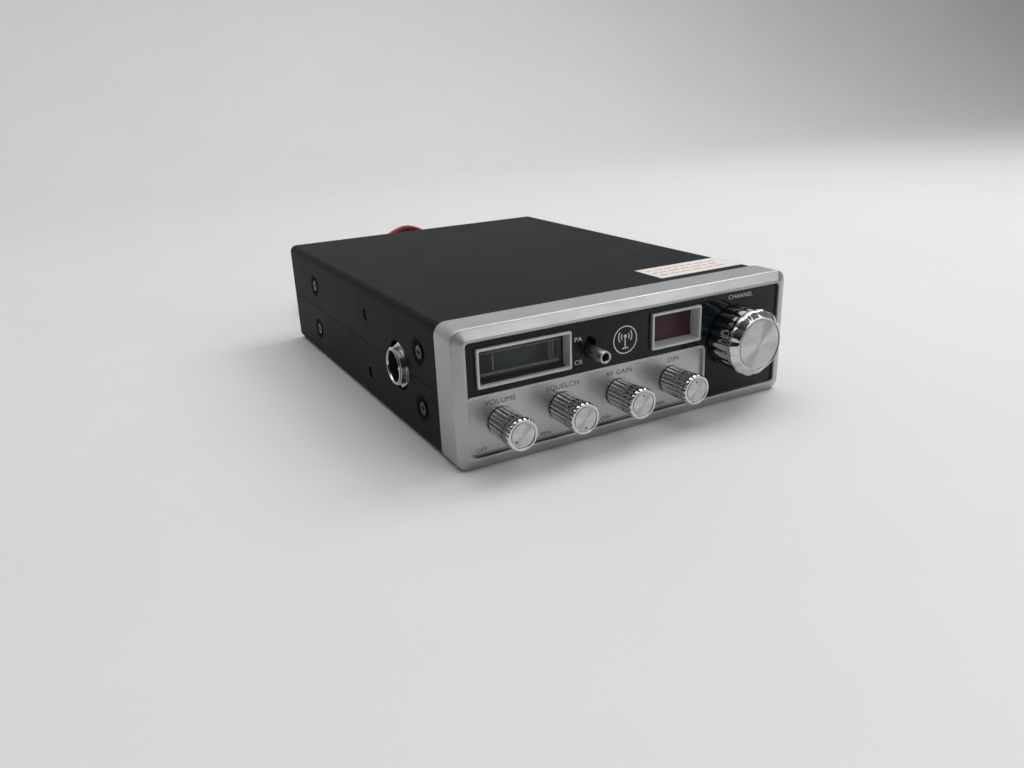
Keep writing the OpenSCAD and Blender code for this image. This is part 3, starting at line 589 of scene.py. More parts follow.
def lettering(name, text, x, z, y, size, mat, stretch=1.12):
    """Plain printed capitals, as ink a few hundredths of a millimetre thick."""
    data = bpy.data.curves.new(name, "FONT")
    data.body = text
    data.size = size * MM
    data.align_x = data.align_y = "CENTER"
    data.space_character = 1.06
    data.extrude = 0.012 * MM
    data.resolution_u = 4
    piece = flat_piece(name, in_scene(name, data), (x, y, z), mat, "root")
    middle = at(x, y, z)
    widen = Matrix.Translation(middle) @ Matrix.Diagonal((stretch, 1, 1, 1)) @ Matrix.Translation(-middle)
    piece.data.transform(widen)
    return piece


def loops(name, sections, mat, body="root", replaces=(), slot=None, smooth=35, closed=False):
    """A skin through rings of points (x, y, z) in panel millimetres, every ring with as many points."""
    count = len(sections[0])
    verts = [at(*p) for ring in sections for p in ring]
    faces = []
    pairs = list(zip(range(len(sections)), range(1, len(sections))))
    if closed:
        pairs.append((len(sections) - 1, 0))
    for a, b in pairs:
        for k in range(count):
            n = (k + 1) % count
            faces.append((a * count + k, b * count + k, b * count + n, a * count + n))
    return add_piece(name, new_mesh(name, verts, faces), mat, body, replaces, slot, smooth)


def smooth_route(points, per_span=6):
    """A Catmull-Rom curve through the points."""
    pts = [Vector(p) for p in points]
    pts = [2 * pts[0] - pts[1]] + pts + [2 * pts[-1] - pts[-2]]
    out = []
    for i in range(1, len(pts) - 2):
        p0, p1, p2, p3 = pts[i - 1:i + 3]
        for k in range(per_span):
            t = k / per_span
            out.append(0.5 * (
                2 * p1 + (p2 - p0) * t + (2 * p0 - 5 * p1 + 4 * p2 - p3) * t * t
                + (3 * p1 - p0 - 3 * p2 + p3) * t ** 3))
    out.append(pts[-2])
    return out


def tube_parts(path, levels, radius, sides, offset, verts, faces):
    """Adds one wire along a path of row-frame metres, set off sideways from it.

    levels says, from 0 to 1, how far the two wires lie level at each point of the path.
    """
    start = len(verts)
    side = Vector((0, 0, 1))
    last = len(path) - 1
    for i, p in enumerate(path):
        heading = (path[min(i + 1, last)] - path[max(i - 1, 0)]).normalized()
        side = (side - side.dot(heading) * heading).normalized()
        up = side.cross(heading)
        if i > 0 and levels[i]:
            flat = Vector((0, 0, 1)).cross(heading)
            if flat.length > 0.2:
                flat = flat.normalized() * (1 if flat.dot(side) > 0 else -1)
                side = (side * (1 - levels[i]) + flat * levels[i]).normalized()
                up = side.cross(heading)
        for k in range(sides):
            a = 2 * math.pi * k / sides
            verts.append(p + side * offset + radius * (side * math.cos(a) + up * math.sin(a)))
    for i in range(last):
        for k in range(sides):
            n = (k + 1) % sides
            a, b = start + i * sides, start + (i + 1) * sides
            faces.append((a + k, b + k, b + n, a + n))
    faces.append(tuple(start + k for k in range(sides)))
    faces.append(tuple(start + last * sides + k for k in reversed(range(sides))))


# ---- power lead

LEAD_ROUTE = [
    (17, 124, 42), (17, 130, 42), (16, 136, 44.4), (12, 140.5, 47.9), (5, 142, 50), (-2, 141, 49.2),
    (-9, 139, 46.6), (-16, 137, 43), (-23, 135.5, 38.3), (-30, 134.5, 32.6), (-37, 134, 26.2),
    (-44, 134, 19.5),
    (-50, 135, 12.5), (-53.5, 138, 7), (-55, 143, 3.8), (-55.2, 148.5, 2.5),
]
TAIL_ROUTE = [
    (2, 179, 11.5), (10, 174.5, 10), (18, 171, 8), (26, 168.7, 6.6), (34, 167.4, 5.8),
    (42, 167, 5.5), (52, 167, 5.5), (62, 167, 5.5), (72, 167, 5.5),
]
COIL_AT = (-25, 160)
COIL_TURN = 1560
COIL_R, COIL_STEP = 29.9, 4.8
WIRE_R, WIRE_APART, LEAD_WIDTH = 1.17, 1.22, 4.7
LEVEL_EASE = 30


def step(t, a, b):
    """0 before a, 1 after b, smooth between."""
    u = min(max((t - a) / (b - a), 0), 1)
    return u * u * (3 - 2 * u)


def coil_places():
    """Turns laid side by side, then one level up, twice."""
    places = []
    for theta in range(0, COIL_TURN + 1, 10):
        r = COIL_R - COIL_STEP * step(theta, 300, 360) + COIL_STEP * step(theta, 900, 960)
        z = 2.4 + COIL_STEP * step(theta, 600, 660) + COIL_STEP * step(theta, 1200, 1260)
        a = math.radians(180 - theta)
        places.append((COIL_AT[0] + r * math.cos(a), COIL_AT[1] + r * math.sin(a), z))
    return places


def power_lead():
    """The twin wire, red and black, as one piece from the rear panel to the plug."""
    first = smooth_route(LEAD_ROUTE)
    path = first + [Vector(p) for p in coil_places()] + smooth_route(TAIL_ROUTE)
    path = [p * MM for p in path]
    levels = [0] * (len(first) - LEVEL_EASE) + [(i / LEVEL_EASE) ** 3 for i in range(LEVEL_EASE)]
    levels += [1] * (len(path) - len(levels))
    verts, faces = [], []
    tube_parts(path, levels, WIRE_R * MM, 12, WIRE_APART * MM, verts, faces)
    red_faces = len(faces)
    tube_parts(path, levels, WIRE_R * MM, 12, -WIRE_APART * MM, verts, faces)
    mesh = new_mesh("power_lead_wires", verts, faces)
    lead = add_piece(
        "power_lead_wires", mesh, ["red_pvc", "black_pvc"], "root",
        ("power_lead", "power_lead_coil"), "red_pvc")
    for i, face in enumerate(mesh.polygons):
        face.material_index = 0 if i < red_faces else 1


def lead_tie():
    """A black strap tied round the coil's bundle."""
    (x0, x1), (z0, z1), width = (22.2, 32.9), (0.05, 14.9), 2.6
    large = rounded(x1 - x0, z1 - z0, 2.2, (x0 + x1) / 2, (z0 + z1) / 2, 5)
    small = rounded(x1 - x0 - 1, z1 - z0 - 1, 1.8, (x0 + x1) / 2, (z0 + z1) / 2, 5)
    sections = []
    for ring, half in ((large, -width / 2), (large, width / 2), (small, width / 2), (small, -width / 2)):
        sections.append([(COIL_AT[0] + x - PANEL_X, COIL_AT[1] + half - PANEL_Y, z) for x, z in ring])
    loops("lead_tie", sections, "black_plastic", closed=True)


def fuse_holder():
    """The in-line fuse holder, with a fluted grip at either end."""
    def grip(r, far, a):
        if r > 5.25 and (far < 49 or 56 < far < 66):
            return r - 0.35 * (1 - abs(math.sin(9 * a)))
        return r

    rings = [
        (2.6, 44), (4.2, 44), (5.0, 44.8), (5.4, 46), (5.4, 52), (5.0, 52.6), (5.0, 54), (5.45, 54.6),
        (5.45, 56.4), (5.3, 57), (5.3, 66.5), (4.6, 68), (3.2, 69.4), (2.6, 70),
    ]
    lathe("fuse_holder_shell", rings, mm(0, 167, 5.5), "x", "black_plastic", sides=72, shape=grip,
          replaces=("fuse_holder",), caps=False)


fuse_holder()
from_cad("power_plug", "plug_nylon", 0.5)


def blocks(name, boxes, mat, place=mm):
    """Blocks, each (x0, x1, y0, y1, z0, z1) in the millimetres that place takes."""
    verts, faces = [], []
    for x0, x1, y0, y1, z0, z1 in boxes:
        k = len(verts)
        verts += [place(x, y, z) for z in (z0, z1) for x, y in ((x0, y0), (x1, y0), (x1, y1), (x0, y1))]
        faces += [(k + 3, k + 2, k + 1, k), (k + 4, k + 5, k + 6, k + 7)]
        faces += [(k + i, k + (i + 1) % 4, k + 4 + (i + 1) % 4, k + 4 + i) for i in range(4)]
    return add_piece(name, new_mesh(name, verts, faces), mat)


def plug_details():
    """The plug's locking tongue, side ribs and contact tubes."""
    tongue = [(76, 87, 165.2, 168.8, 8.9, 10.1), (84.2, 86.6, 164.8, 169.2, 9.9, 10.9)]
    soften(blocks("plug_tongue", tongue, "plug_nylon"), 0.25)
    sides = ((160.7, 161.2), (172.8, 173.3))
    ribs = [(x, x + 1.2, y0, y1, 1.4, 7.6) for x in (74, 77, 80) for y0, y1 in sides]
    soften(blocks("plug_ribs", ribs, "plug_nylon"), 0.12)
    tube = [(1.0, 80.6), (1.0, 87.2), (1.15, 87.4), (1.35, 87.2), (1.35, 80.6), (1.0, 80.6)]
    for k, y in enumerate((164, 170)):
        lathe("plug_contact_%d" % k, tube, mm(0, y, 4.5), "x", "brass_contact", sides=32, caps=False)


plug_details()
power_lead()
lead_tie()

# ---- covers and case

for cover in ("top_cover", "bottom_cover"):
    from_cad(cover, "cover_paint", 0.35, segments=3, angle=24)
from_cad("rear_panel", "rear_paint", 0.3)
from_cad("cover_screws", "black_screws", 0.22, segments=3)
from_cad("chassis_screws", "zinc_steel", 0.22)


def sticker():
    """A flat paper label, ruled with dashes where the print was."""
    x0, x1, y0, y1, z = 30.5, 75.5, 24, 43, BODY_H - 1
    cols, rows = 30, 14
    across, along = [i / cols for i in range(cols + 1)], [j / rows for j in range(rows + 1)]
    verts = [at(x0 + (x1 - x0) * u, y0 + (y1 - y0) * v, z + 0.02 + layer)
             for layer in (0.0, 0.09) for v in along for u in across]
    n = (cols + 1) * (rows + 1)
    faces = []
    for j in range(rows):
        for i in range(cols):
            a = j * (cols + 1) + i
            quad = (a, a + 1, a + cols + 2, a + cols + 1)
            faces += [tuple(n + q for q in quad), quad[::-1]]
    ring = list(range(cols + 1)) + [(j + 1) * (cols + 1) - 1 for j in range(1, rows + 1)]
    ring += [rows * (cols + 1) + i for i in range(cols - 1, -1, -1)]
    ring += [j * (cols + 1) for j in range(rows - 1, 0, -1)]
    for a, b in zip(ring, ring[1:] + ring[:1]):
        faces.append((a, b, n + b, n + a))
    label = new_mesh("sticker", verts, faces)
    add_piece("sticker", label, "label_paper", "root", ("top_label",), "label_paper")
    draw = random.Random(5)
    dashes = []
    for row in range(3):
        y = y0 + 4.5 + row * 4.6
        x = x0 + 3
        while x < x1 - 6:
            w = draw.uniform(2.2, 6)
            dashes.append((x, min(x + w, x1 - 3), y, y + 1.1, z + 0.105, z + 0.125))
            x += w + 1.1
    blocks("sticker_rules", dashes, "label_ink", at)


sticker()

# ---- front bezel


def bezel():
    """The silver surround: flat sides, a wide bevel, a narrow lip, then the step down to the panels."""
    profile = [
        (2, BEZEL_D), (0.25, BEZEL_D), (0, BEZEL_D - 0.25), (0, 9), (0, 2.75), (0.1, 2.25), (0.32, 1.98),
        (0.62, 1.78), (3.3, 0.36), (3.7, 0.16), (4.0, 0.04), (4.4, 0), (4.7, 0.02), (4.92, 0.12), (5, 0.34),
        (5, 1.7),
    ]
    sections = []
    for inset, y in profile:
        radius = max(5 - inset * 0.7, 1.5)
        ring = rounded(BODY_W - 2 * inset, BODY_H - 2 * inset, radius, 0, BODY_H / 2)
        sections.append([(x, y, z) for x, z in ring])
    loops("bezel_surround", sections, "silver_moulding", replaces=("front_bezel",), slot="silver_moulding")


def plate_outline(grow):
    x0, x1 = PLATE_X0 - grow, PLATE_X1 + grow
    z0, z1 = BORDER - grow, PLATE_TOP + grow
    return rounded(x1 - x0, z1 - z0, 1.5 + grow, (x0 + x1) / 2, (z0 + z1) / 2)


def window(x, w, grow, r, steps):
    """A window's outline, grown all round."""
    return rounded(w + 2 * grow, WINDOW_H + 2 * grow, r, x, WINDOW_Z, steps)


def lever_slot(clearance):
    r = LEVER_R + clearance
    return rounded(2 * r, 2 * r + LEVER_TRAVEL, r, LEVER_X, LEVER_Z + LEVER_TRAVEL / 2, 10)


def shaft_holes(r):
    return [circle(r, x, CONTROL_Z) for x in SMALL_KNOBS.values()]


def open_frame(name, outline, y_front, y_back, width=1.0, soft=0.22, slope=0.0):
    """A thin raised rim with a rounded front edge, whose inside is the wall of a recess."""
    def inset(points, d):
        xs, zs = [p[0] for p in points], [p[1] for p in points]
        cx, cz = (min(xs) + max(xs)) / 2, (min(zs) + max(zs)) / 2
        hx, hz = (max(xs) - min(xs)) / 2, (max(zs) - min(zs)) / 2
        return [(cx + (x - cx) * (hx - d) / hx, cz + (z - cz) * (hz - d) / hz) for x, z in points]

    profile = [
        (0, y_front + 1.4), (0, y_front + soft), (soft * 0.3, y_front + soft * 0.3), (soft, y_front),
        (width - soft, y_front), (width - soft * 0.3, y_front + soft * 0.3), (width, y_front + soft),
        (width + slope, y_back),
    ]
    sections = [[(x, y, z) for x, z in inset(outline, d)] for d, y in profile]
    # the rims take the lighter silver, which is partly painted light
    loops(name, sections, "silver_frame")


def web():
    """The bezel's own face behind the panels, with its holes."""
    holes = shaft_holes(4) + [circle(4, CHANNEL_X, CHANNEL_Z)]
    holes += [window(x, w, 0, 0.05, 1) for x, w in WINDOWS] + [lever_slot(0.3)]
    outline = rounded(BODY_W - 9, BODY_H - 9, 1.5, 0, BODY_H / 2)
    slab("bezel_web", [outline] + holes, 2.5, 4, "silver_moulding")


def fascia_panel():
    """The glossy black panel round the windows, cut away where the control plate sits."""
    x0, x1, z0, z1 = PLATE_X0, -PLATE_X0, BORDER, BODY_H - BORDER
    px, pz = PLATE_X1 + RIM_W, PLATE_TOP + RIM_W
    r, inner = 1.6, 2.5

    def corner(cx, cz, a0, a1, radius, n=6):
        return arc_points(radius, cx, cz, [a0 + (a1 - a0) * k / n for k in range(n + 1)])

    outline = corner(x1 - r, z1 - r, 0, 90, r) + corner(x0 + r, z1 - r, 90, 180, r)
    outline += corner(x0 + r, pz + r, 180, 270, r) + corner(px - inner, pz - inner, 90, 0, inner)
    outline += [(px, z0)] + corner(x1 - r, z0 + r, 270, 360, r)
    holes = [circle(4, CHANNEL_X, CHANNEL_Z)]
    holes += [window(x, w, RIM_W, 0.6, 4) for x, w in WINDOWS] + [lever_slot(0.3)]
    slab("fascia_panel", [outline] + holes, FASCIA_Y, 1.6, "gloss_black", 0.08,
         replaces=("black_fascia",), slot="gloss_black")


bezel()
web()
fascia_panel()
open_frame("plate_rim", plate_outline(RIM_W), 0.5, PLATE_Y + 0.6, RIM_W)
for label, (x, w), back in zip(("meter", "display"), WINDOWS, (LENS_Y, FILTER_Y)):
    open_frame(label + "_rim", window(x, w, RIM_W, 0.6, 4), -RIM_OUT, back, RIM_W, slope=DRAFT)
slab("control_panel", [plate_outline(0.0)] + shaft_holes(3.9), PLATE_Y, PLATE_Y + 0.6, "brushed_aluminium",
     replaces=("control_plate",), slot="brushed_aluminium")
slab("display_filter", [window(DISPLAY_X, DISPLAY_W, -DRAFT, 0.1, 2)], FILTER_Y, FILTER_Y + 1.4, "red_filter",
     0.05, replaces=("display_window",), slot="red_filter")

# ---- meter


METER_PIVOT, CARD_R = 34.4, 28.0
INK = 0.03


def meter_arc(name, r, a0, a1, z0, z1, thick, mat, **more):
    """A strip of a sleeve about the needle's pivot, from a0 to a1 degrees."""
    n = max(2, int((a1 - a0) * 1.5))
    verts, faces = [], []
    for i in range(n + 1):
        a = math.radians(a0 + (a1 - a0) * i / n)
        for rr in (r, r - thick):
            for z in (z0, z1):
                verts.append(at(METER_X + rr * math.sin(a), METER_PIVOT - rr * math.cos(a), WINDOW_Z + z))
    for i in range(n):
        k, m = 4 * i, 4 * i + 4
        faces += [(k, m, m + 1, k + 1), (k + 3, m + 3, m + 2, k + 2)]
        faces += [(k + 1, m + 1, m + 3, k + 3), (k + 2, m + 2, m, k)]
    faces += [(0, 1, 3, 2), (4 * n + 2, 4 * n + 3, 4 * n + 1, 4 * n)]
    add_piece(name, new_mesh(name, verts, faces), mat, **more)


def meter_scale():
    """The curved card, and the bars and ticks printed on it."""
    half = math.degrees(math.asin(17 / CARD_R))
    meter_arc("meter_card", CARD_R, -half, half, -6.5, 4.5, 0.8, "scale_print",
              replaces=("meter_scale",), slot="scale_print")
    marks = [
        ("bar_low", -18, 26.5, 0.45, 0.95, "teal_ink"), ("bar_high", 9, 13, 0.45, 0.95, "orange_ink"),
        ("bar_under", -18, 26.5, -1.1, -0.7, "teal_ink"), ("bar_under_high", 9, 10, -1.1, -0.7, "orange_ink"),
    ]
    for i in range(9):
        marks.append(("tick_%d" % i, -18 + i * 3.25, 0.45, 0.95, 2.0 if i % 2 else 2.5, "teal_ink"))
    marks += [("tick_high_%d" % i, 9 + i * 4, 0.8, 0.95, 2.4, "orange_ink") for i in range(4)]
    marks += [("tick_under_%d" % i, -18 + i * 6.2, 0.4, -1.9, -1.1, "teal_ink") for i in range(5)]
    for name, a, span, z0, z1, mat in marks:
        meter_arc("meter_" + name, CARD_R + INK, a, a + span, z0, z1, INK, mat)


def meter_seal():
    """A dark lining of the recess in front of the lens, on three of its four sides: painted shade laid over
    the walls where shade falls.
    """
    rings = []
    for grow, y in ((-0.02, 0.3), (-DRAFT - 0.05, LENS_Y - 0.02)):
        w, h = METER_W / 2 + grow, WINDOW_H / 2 + grow
        corners = ((w - 0.3, -h), (-w, -h), (-w, h), (w - 0.3, h))
        rings.append([(METER_X + x, y, WINDOW_Z + z) for x, z in corners])
    for ring in rings[::-1]:
        rings.append([(x + (METER_X - x) * 0.004, y - 0.02, z + (WINDOW_Z - z) * 0.01) for x, y, z in ring])
    verts = [at(*point) for ring in rings for point in ring]
    faces = [(4 * r + k, 4 * r + k + 1, 4 * ((r + 1) % 4) + k + 1, 4 * ((r + 1) % 4) + k)
             for r in range(4) for k in range(3)]
    faces += [(0, 4, 8, 12), (15, 11, 7, 3)]
    add_piece("meter_seal", new_mesh("meter_seal", verts, faces), "meter_seal")


def meter():
    slab("meter_window", [window(METER_X, METER_W, -DRAFT, 0.1, 2)], LENS_Y, 4.3, "clear_lens", 0.2,
         replaces=("meter_lens",), slot="clear_lens")
    meter_scale()
    w, h = METER_W - 2 * DRAFT - 0.1, WINDOW_H - 2 * DRAFT - 0.1
    mask = [rounded(w, h, 0.2, METER_X, WINDOW_Z, 2), rounded(w - 3.2, h - 2.6, 0.4, METER_X, WINDOW_Z, 4)]
    slab("meter_mask", mask, 4.42, 4.85, "meter_mask", 0.12)
    # Painted highlight: light grey strips along the window's lower, upper and right edges stand in for light
    # catching the meter's inner edges.
    for label, w, h, x, z in (
            ("low", 33.6, 1.1, 0.3, -4.1), ("high", 33.6, 0.5, 0.3, 3.9), ("side_a", 0.5, 7.4, 14.6, 0.2),
            ("side_b", 0.35, 7.4, 13.5, 0.2), ("side_c", 0.3, 7.4, 12.6, 0.2)):
        strip = rounded(w, h, 0.15, METER_X + x, WINDOW_Z + z, 3)
        slab("meter_painted_highlight_" + label, [strip], 4.36, 4.6, "meter_grey", 0.1)
    meter_seal()


meter()
from_cad("meter_pointer", "needle_white", 0.05, "meter_pointer")

# ---- printing

PANEL_PRINT = (("PA", -27.4, 42.4), ("CB", -27.4, 33.2), ("CHANNEL", 54, 46.9))
PLATE_PRINT = (
    ("VOLUME", -61.2, 25.0, 2.9), ("SQUELCH", -34.2, 25.0, 2.9), ("RF GAIN", -7.6, 25.2, 2.9),
    ("DIM", 19.4, 25.3, 2.9), ("OFF", -69.9, 7.2, 2.3), ("MIN", -42.2, 7.2, 2.3), ("LOW", -15, 7.2, 2.3),
    ("MIN", 13.2, 7.2, 2.3),
)
for i, (text, x, z) in enumerate(PANEL_PRINT):
    lettering("panel_print_%d" % i, text, x, z, FASCIA_Y - 0.02, 2.5, "white_ink")
for i, (text, x, z, size) in enumerate(PLATE_PRINT):
    lettering("plate_print_%d" % i, text, x, z, PLATE_Y - 0.02, size, "dark_ink")
slab("plate_rule", [rounded(106, 0.13, 0.05, -21, 5.9, 1)], PLATE_Y - 0.03, PLATE_Y - 0.005, "dark_ink")


def badge():
    """A plain ring with a mast and waves."""
    cx, cz = -5.5, 38.4
    tip = cz + 1.4
    shapes = {
        "ring": [circle(5.7, cx, cz, 64), circle(5.25, cx, cz, 64)],
        "mast": [rounded(0.5, 4.6, 0.2, cx, cz - 1.1, 3)],
        "foot": [rounded(3.0, 0.5, 0.2, cx, cz - 3.4, 3)],
        "tip": [circle(0.75, cx, tip, 24)],
    }
    for side, middle in ((0, 180), (2, 0)):
        angles = [middle + a for a in range(-38, 39, 4)]
        for k, r in enumerate((2.1, 3.4)):
            wave = arc_points(r, cx, tip, angles) + arc_points(r - 0.45, cx, tip, angles[::-1])
            shapes["wave_%d%d" % (side, k)] = [wave]
    for name, outlines in shapes.items():
        slab("badge_" + name, outlines, FASCIA_Y - 0.03, FASCIA_Y - 0.005, "white_ink")


badge()

# ---- controls


DOT_ANGLES = {"volume": 215, "squelch": 270, "gain": 90, "dimmer": 95}


def from_front(out, pairs):
    """(radius, along) pairs, with along measured from out."""
    return [(r, out + far) for r, far in pairs]


def small_knob(name, x):
    """Chrome fluted knob with a scalloped front ring, its spun disc and its dot."""
    out = -KNOB_OUT
    body = name + "_control"
    centre = at(x, 0, CONTROL_Z)
    rings = from_front(out, [
        (0, 0.5), (4.95, 0.5), (5.0, 0.12), (5.15, 0.02), (5.6, 0), (5.95, 0.12), (6.15, 0.4), (6.38, 1.1),
        (6.4, 1.6), (6.4, 3.0), (6.3, 3.4), (6.0, 3.55), (5.95, 3.9), (6.0, 4.3),
    ]) + [(6.0, KNOB_BACK - 0.6), (5.8, KNOB_BACK), (0, KNOB_BACK)]

    def shape(radius, far, angle):
        lobes = abs(math.sin(9 * angle))
        if radius > 5.9 and far > out + 0.3:
            deep = 0.42 if far < out + 3.6 else 0.55
            return radius - deep * (1 - lobes ** 0.6)
        return radius

    lathe(name + "_grip", rings, centre, "y", "chrome", body, sides=216, shape=shape,
          replaces=(name + "_knob",), slot="chrome", smooth=50)
    disc = from_front(out, [(0, 0.02), (4.2, 0.02), (4.55, 0.05), (4.72, 0.2), (4.72, 0.6), (0, 0.6)])
    lathe(name + "_disc", disc, centre, "y", spun(name + "_spun", tuple(centre)), body, sides=96,
          replaces=(name + "_cap",), slot="spun_aluminium")
    a = math.radians(DOT_ANGLES[name])
    place = at(x + 3.5 * math.cos(a), 0, CONTROL_Z + 3.5 * math.sin(a))
    dot = from_front(out, [(0, 0.001), (0.4, 0.001), (0.45, 0.03), (0, 0.03)])
    lathe(name + "_dot", dot, place, "y", "dark_ink", body, sides=20)


for name, x in SMALL_KNOBS.items():
    small_knob(name, x)


def channel_knob():
    """The large chrome knob, lobed at its waist, and its spun disc."""
    out = -CHANNEL_OUT
    centre = at(CHANNEL_X, 0, CHANNEL_Z)
    rings = from_front(out, [
        (0, 0.6), (10.95, 0.6), (11.0, 0.12), (11.12, 0), (11.3, 0), (11.6, 0.25), (12.4, 1.0), (13.4, 1.95),
        (13.85, 2.4), (14.0, 2.8), (14.0, 4.4), (13.8, 4.9), (13.4, 5.05), (13.25, 5.5), (13.3, 6.2),
    ]) + [(13.35, CHANNEL_BACK - 1), (13.1, CHANNEL_BACK), (0, CHANNEL_BACK)]

    def shape(radius, far, angle):
        lobes = abs(math.sin(7 * angle))
        if radius < 11.5:
            return radius
        if far < out + 5:
            return radius - 0.5 * (1 - lobes ** 0.8) * min(1, (far - out) / 0.9)
        return radius - 1.1 * (1 - lobes ** 0.5)

    lathe("channel_grip", rings, centre, "y", "chrome", "channel_control", sides=280, shape=shape,
          replaces=("channel_knob",), slot="chrome", smooth=50)
    disc = from_front(out, [(0, 0.02), (9.9, 0.02), (10.3, 0.06), (10.5, 0.25), (10.5, 0.7), (0, 0.7)])
    finish = spun("channel_spun", tuple(centre))
    lathe("channel_disc", disc, centre, "y", finish, "channel_control", sides=128,
          replaces=("channel_cap",), slot="spun_aluminium")


channel_knob()


def lever():
    """The mode lever's hollow tip, the sleeve in its slot and the slider behind the panel."""
    out, centre = -LEVER_OUT, at(LEVER_X, 0, LEVER_Z)
    tube = from_front(out, [
        (0, 4), (1.5, 4), (1.6, 0.25), (1.75, 0.05), (2.1, 0), (2.4, 0.15), (2.5, 0.45),
    ]) + [(2.5, 4.6), (0, 4.6)]
    lathe("lever_tube", tube, centre, "y", "satin_nickel", "mode_lever", sides=48,
          replaces=("mode_lever",), slot="chrome")
    core = from_front(out, [(0, 3.2), (1.45, 3.2), (1.45, 3.8), (0, 3.8)])
    lathe("lever_core", core, centre, "y", "black_plastic", "mode_lever", sides=32)
    slab("lever_sleeve", [lever_slot(0.29), lever_slot(0.16)], FASCIA_Y + 0.15, 4, "black_plastic")
    foot = rounded(7, 8, 0.4, LEVER_X, LEVER_Z, 3)
    slab("lever_foot", [foot], 4.6, 7.9, "black_plastic", 0.2, "mode_lever")


lever()

# ---- sockets


def thread(length, pitch, depth, r, start):
    """(radius, along) pairs of a screw thread's crests and roots."""
    rings, n = [], int(length / pitch)
    for i in range(n):
        a = start + i * pitch
        rings += [(r - depth, a), (r - depth, a + pitch * 0.2), (r, a + pitch * 0.42), (r, a + pitch * 0.62)]
    rings.append((r - depth, start + n * pitch))
    return rings


def mic_socket():
    low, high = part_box("mic_socket_shell")
    centre = Vector((low.x, (low.y + high.y) / 2, (low.z + high.z) / 2))
    rings = [(6.8, 6), (6.8, 0.25), (6.95, 0.03), (7.35, 0), (7.6, 0.2)]
    rings += thread(2.6, 0.65, 0.38, MIC_R, 0.45)
    rings += [(7.7, 3.2), (7.7, 12.2), (6.8, 12.3), (6.8, 6)]
    lathe("mic_shell", rings, centre, "x", "nickel", sides=72, replaces=("mic_socket_shell",),
          slot="nickel", caps=False)
    from_cad("mic_socket_insert", "black_plastic", 0.15)
    liner = [(6.45, 0.7), (6.78, 0.7), (6.78, 6.35), (6.45, 6.35), (6.45, 0.7)]
    lathe("mic_liner", liner, centre, "x", "black_plastic", sides=64, caps=False)
    key = new_mesh(
        "mic_key",
        [centre + mm(x, y, z) for x in (0.9, 6.4)
         for y, z in ((3.2, -6.4), (4.9, -5.1), (4.2, -4.3), (2.5, -5.6))],
        [(0, 1, 2, 3), (7, 6, 5, 4), (0, 4, 5, 1), (1, 5, 6, 2), (2, 6, 7, 3), (3, 7, 4, 0)])
    add_piece("mic_key", key, "black_plastic")
    tip = (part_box("mic_socket_pins")[0].x - centre.x) / MM
    pin = from_front(tip, [(0, 0), (0.5, 0.12), (0.8, 0.45), (0.9, 0.9), (0.9, 14), (0, 14)])
    for k, (y, z) in enumerate(((-2.5, -2.5), (-2.5, 2.5), (2.5, -2.5), (2.5, 2.5))):
        lathe("mic_pin_%d" % k, pin, centre + mm(0, y, z), "x", "silver_pins", sides=24,
              replaces=("mic_socket_pins",) if k == 0 else ())


mic_socket()
slab("aerial_flange", [rounded(25, 25, 0.8, AERIAL_X, AERIAL_Z)], REAR_FACE, REAR_FACE + 2, "nickel", 0.25,
     replaces=("antenna_socket",), slot="nickel")


def aerial_barrel():
    """The aerial socket's threaded barrel."""
    rings = [(6.72, 11.4), (6.72, 13.25), (6.9, 13.5), (7.3, 13.5)]
    for i in range(10):
        a = 13.3 - 1.0 * i
        rings += [(7.42, a), (7.88, a - 0.28), (7.88, a - 0.48), (7.42, a - 0.76)]
    rings += [(7.42, 3.1), (7.85, 2.8), (7.88, 1.9)]
    place = at(AERIAL_X, REAR_FACE, AERIAL_Z)
    lathe("aerial_barrel", rings, place, "y", "nickel", sides=80, caps=False, smooth=30)


aerial_barrel()
from_cad("antenna_insulator", "ptfe", 0.2)
from_cad("antenna_contact", "brass_contact", 0.12)
from_cad("jack_sockets", "black_plastic", 0.2)
from_cad("strain_relief", "black_rubber", 0.3)
from_cad("panel_nuts", "nickel", 0.2)

# ---- what stays as the frame has it

KEPT = {
    "zinc_steel": ["left_rail", "right_rail", "front_plate", "pot_bodies", "channel_shaft"],
    "black_plastic": ["meter_case", "mode_switch_body"],
    "board_resin": ["main_board", "channel_switch_body"],
    "chip_black": ["chips", "power_transistors"],
    "green_board": ["display_board"], "digit_block": ["display_digits"], "can_metal": ["if_cans"],
    "capacitor_sleeve": ["capacitors"], "transformer_core": ["audio_transformer"],
    "speaker_steel": ["speaker_basket"], "magnet_ferrite": ["speaker_magnet"], "cone_paper": ["speaker_cone"],
}
KEPT["zinc_steel"] += [name + "_shaft" for name in SMALL_KNOBS]
for mat, names in KEPT.items():
    for name in names:
        data = nodes[name].data
        data.materials.clear()
        data.materials.append(MAT[mat])

# ---- floor and light


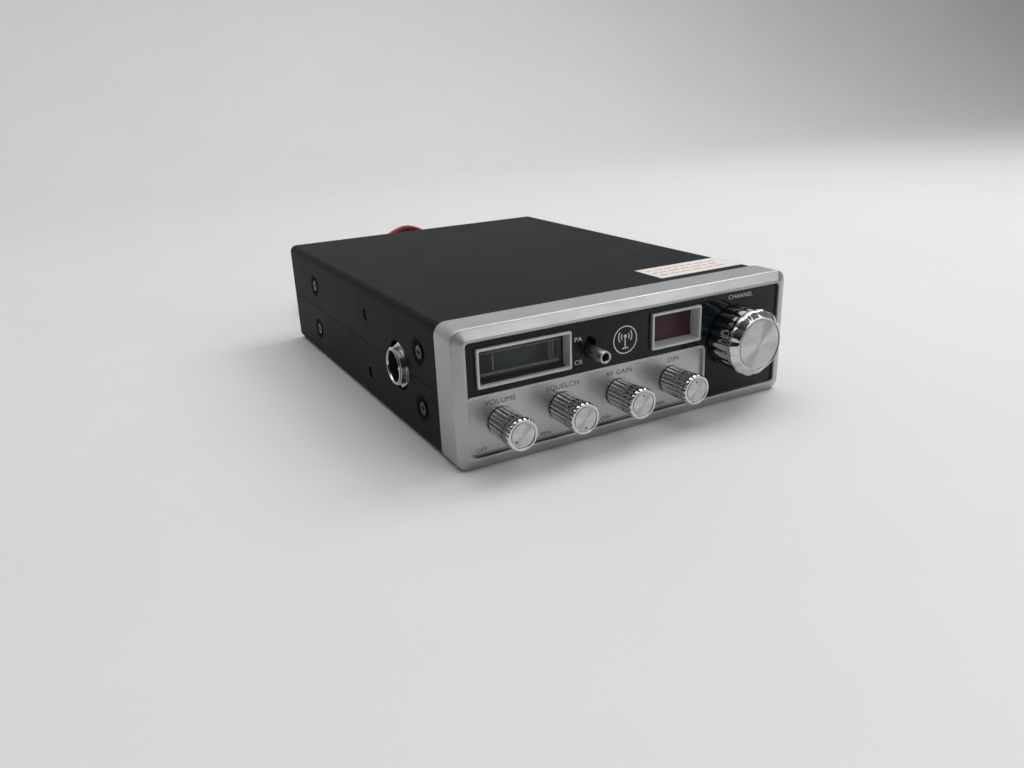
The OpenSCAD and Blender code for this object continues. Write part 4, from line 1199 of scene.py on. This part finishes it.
def floor():
    """A pale sheet that runs back and sweeps up behind the radio."""
    f = Finish("pale_floor", (0.72, 0.72, 0.725), 0, 0.6)
    f.paint(f.mix(f.between(f.noise(6, 3), 0.3, 0.7), (0.71, 0.71, 0.715), (0.73, 0.73, 0.735)))
    f.bump(f.noise(300, 2), 0.1, 0.0001)
    turn, start, top, left, right = 0.5, 0.9, 2.6, -1.7, 3.4
    line = [(-1.4, 0), (-0.7, 0), (0, 0), (start, 0)]
    for a in (math.radians(5 * k) for k in range(1, 19)):
        line.append((start + turn * math.sin(a), turn * (1 - math.cos(a))))
    line.append((start + turn, top))
    verts = [(side, y, z) for y, z in line for side in (left, right)]
    faces = [(2 * i, 2 * i + 1, 2 * i + 3, 2 * i + 2) for i in range(len(line) - 1)]
    mesh = new_mesh("floor", verts, faces)
    mesh.shade_smooth()
    mesh.materials.append(f.mat)
    in_scene("floor", mesh)


def softbox(name, place, target, size, power, colour=(1, 1, 1)):
    data = bpy.data.lights.new(name, "AREA")
    data.shape = "RECTANGLE"
    data.size, data.size_y = size
    data.energy = power
    data.color = colour
    lamp = in_scene(name, data)
    lamp.location = place
    lamp.rotation_euler = (Vector(target) - Vector(place)).to_track_quat("-Z", "Y").to_euler()


def world():
    """A room that is pale above and behind, and dark toward the front and the left."""
    sky = bpy.data.worlds.new("room")
    sky.use_nodes = True
    room = Nodes(sky.node_tree)
    split = room.tree.nodes.new("ShaderNodeSeparateXYZ")
    room.link(room.tree.nodes.new("ShaderNodeTexCoord").outputs["Generated"], split.inputs[0])
    x, y, z = split.outputs
    level = room.math("ADD", room.between(y, -0.6, 0.6, 0.02, 0.3), room.between(z, 0.15, 0.9, 0.0, 0.14))
    level = room.math("MULTIPLY", level, room.between(x, -0.9, 0.5, 0.45, 1.0))
    tint = room.tree.nodes.new("ShaderNodeCombineXYZ")
    for socket in tint.inputs:
        room.link(level, socket)
    seen = room.tree.nodes.new("ShaderNodeLightPath").outputs["Is Camera Ray"]
    back = room.tree.nodes["Background"]
    room.link(room.mix(seen, tint.outputs[0], (0.56, 0.56, 0.56)), back.inputs["Color"])
    back.inputs["Strength"].default_value = 1.0
    bpy.context.scene.world = sky


floor()
softbox("overhead", (0.2, 0.4, 2.2), (0.1, 0.3, 0), (3, 3), 36)
softbox("key", (0.85, 0.05, 1.0), (0, 0, 0), (0.7, 0.7), 5)
softbox("front_window", (0.78, -1.35, 0.86), (0, -0.1, 0.03), (1.5, 0.9), 8)
softbox("backdrop_wash", (0.7, 0.5, 1.9), (0.7, 1.4, 0.7), (6, 0.5), 8)
world()
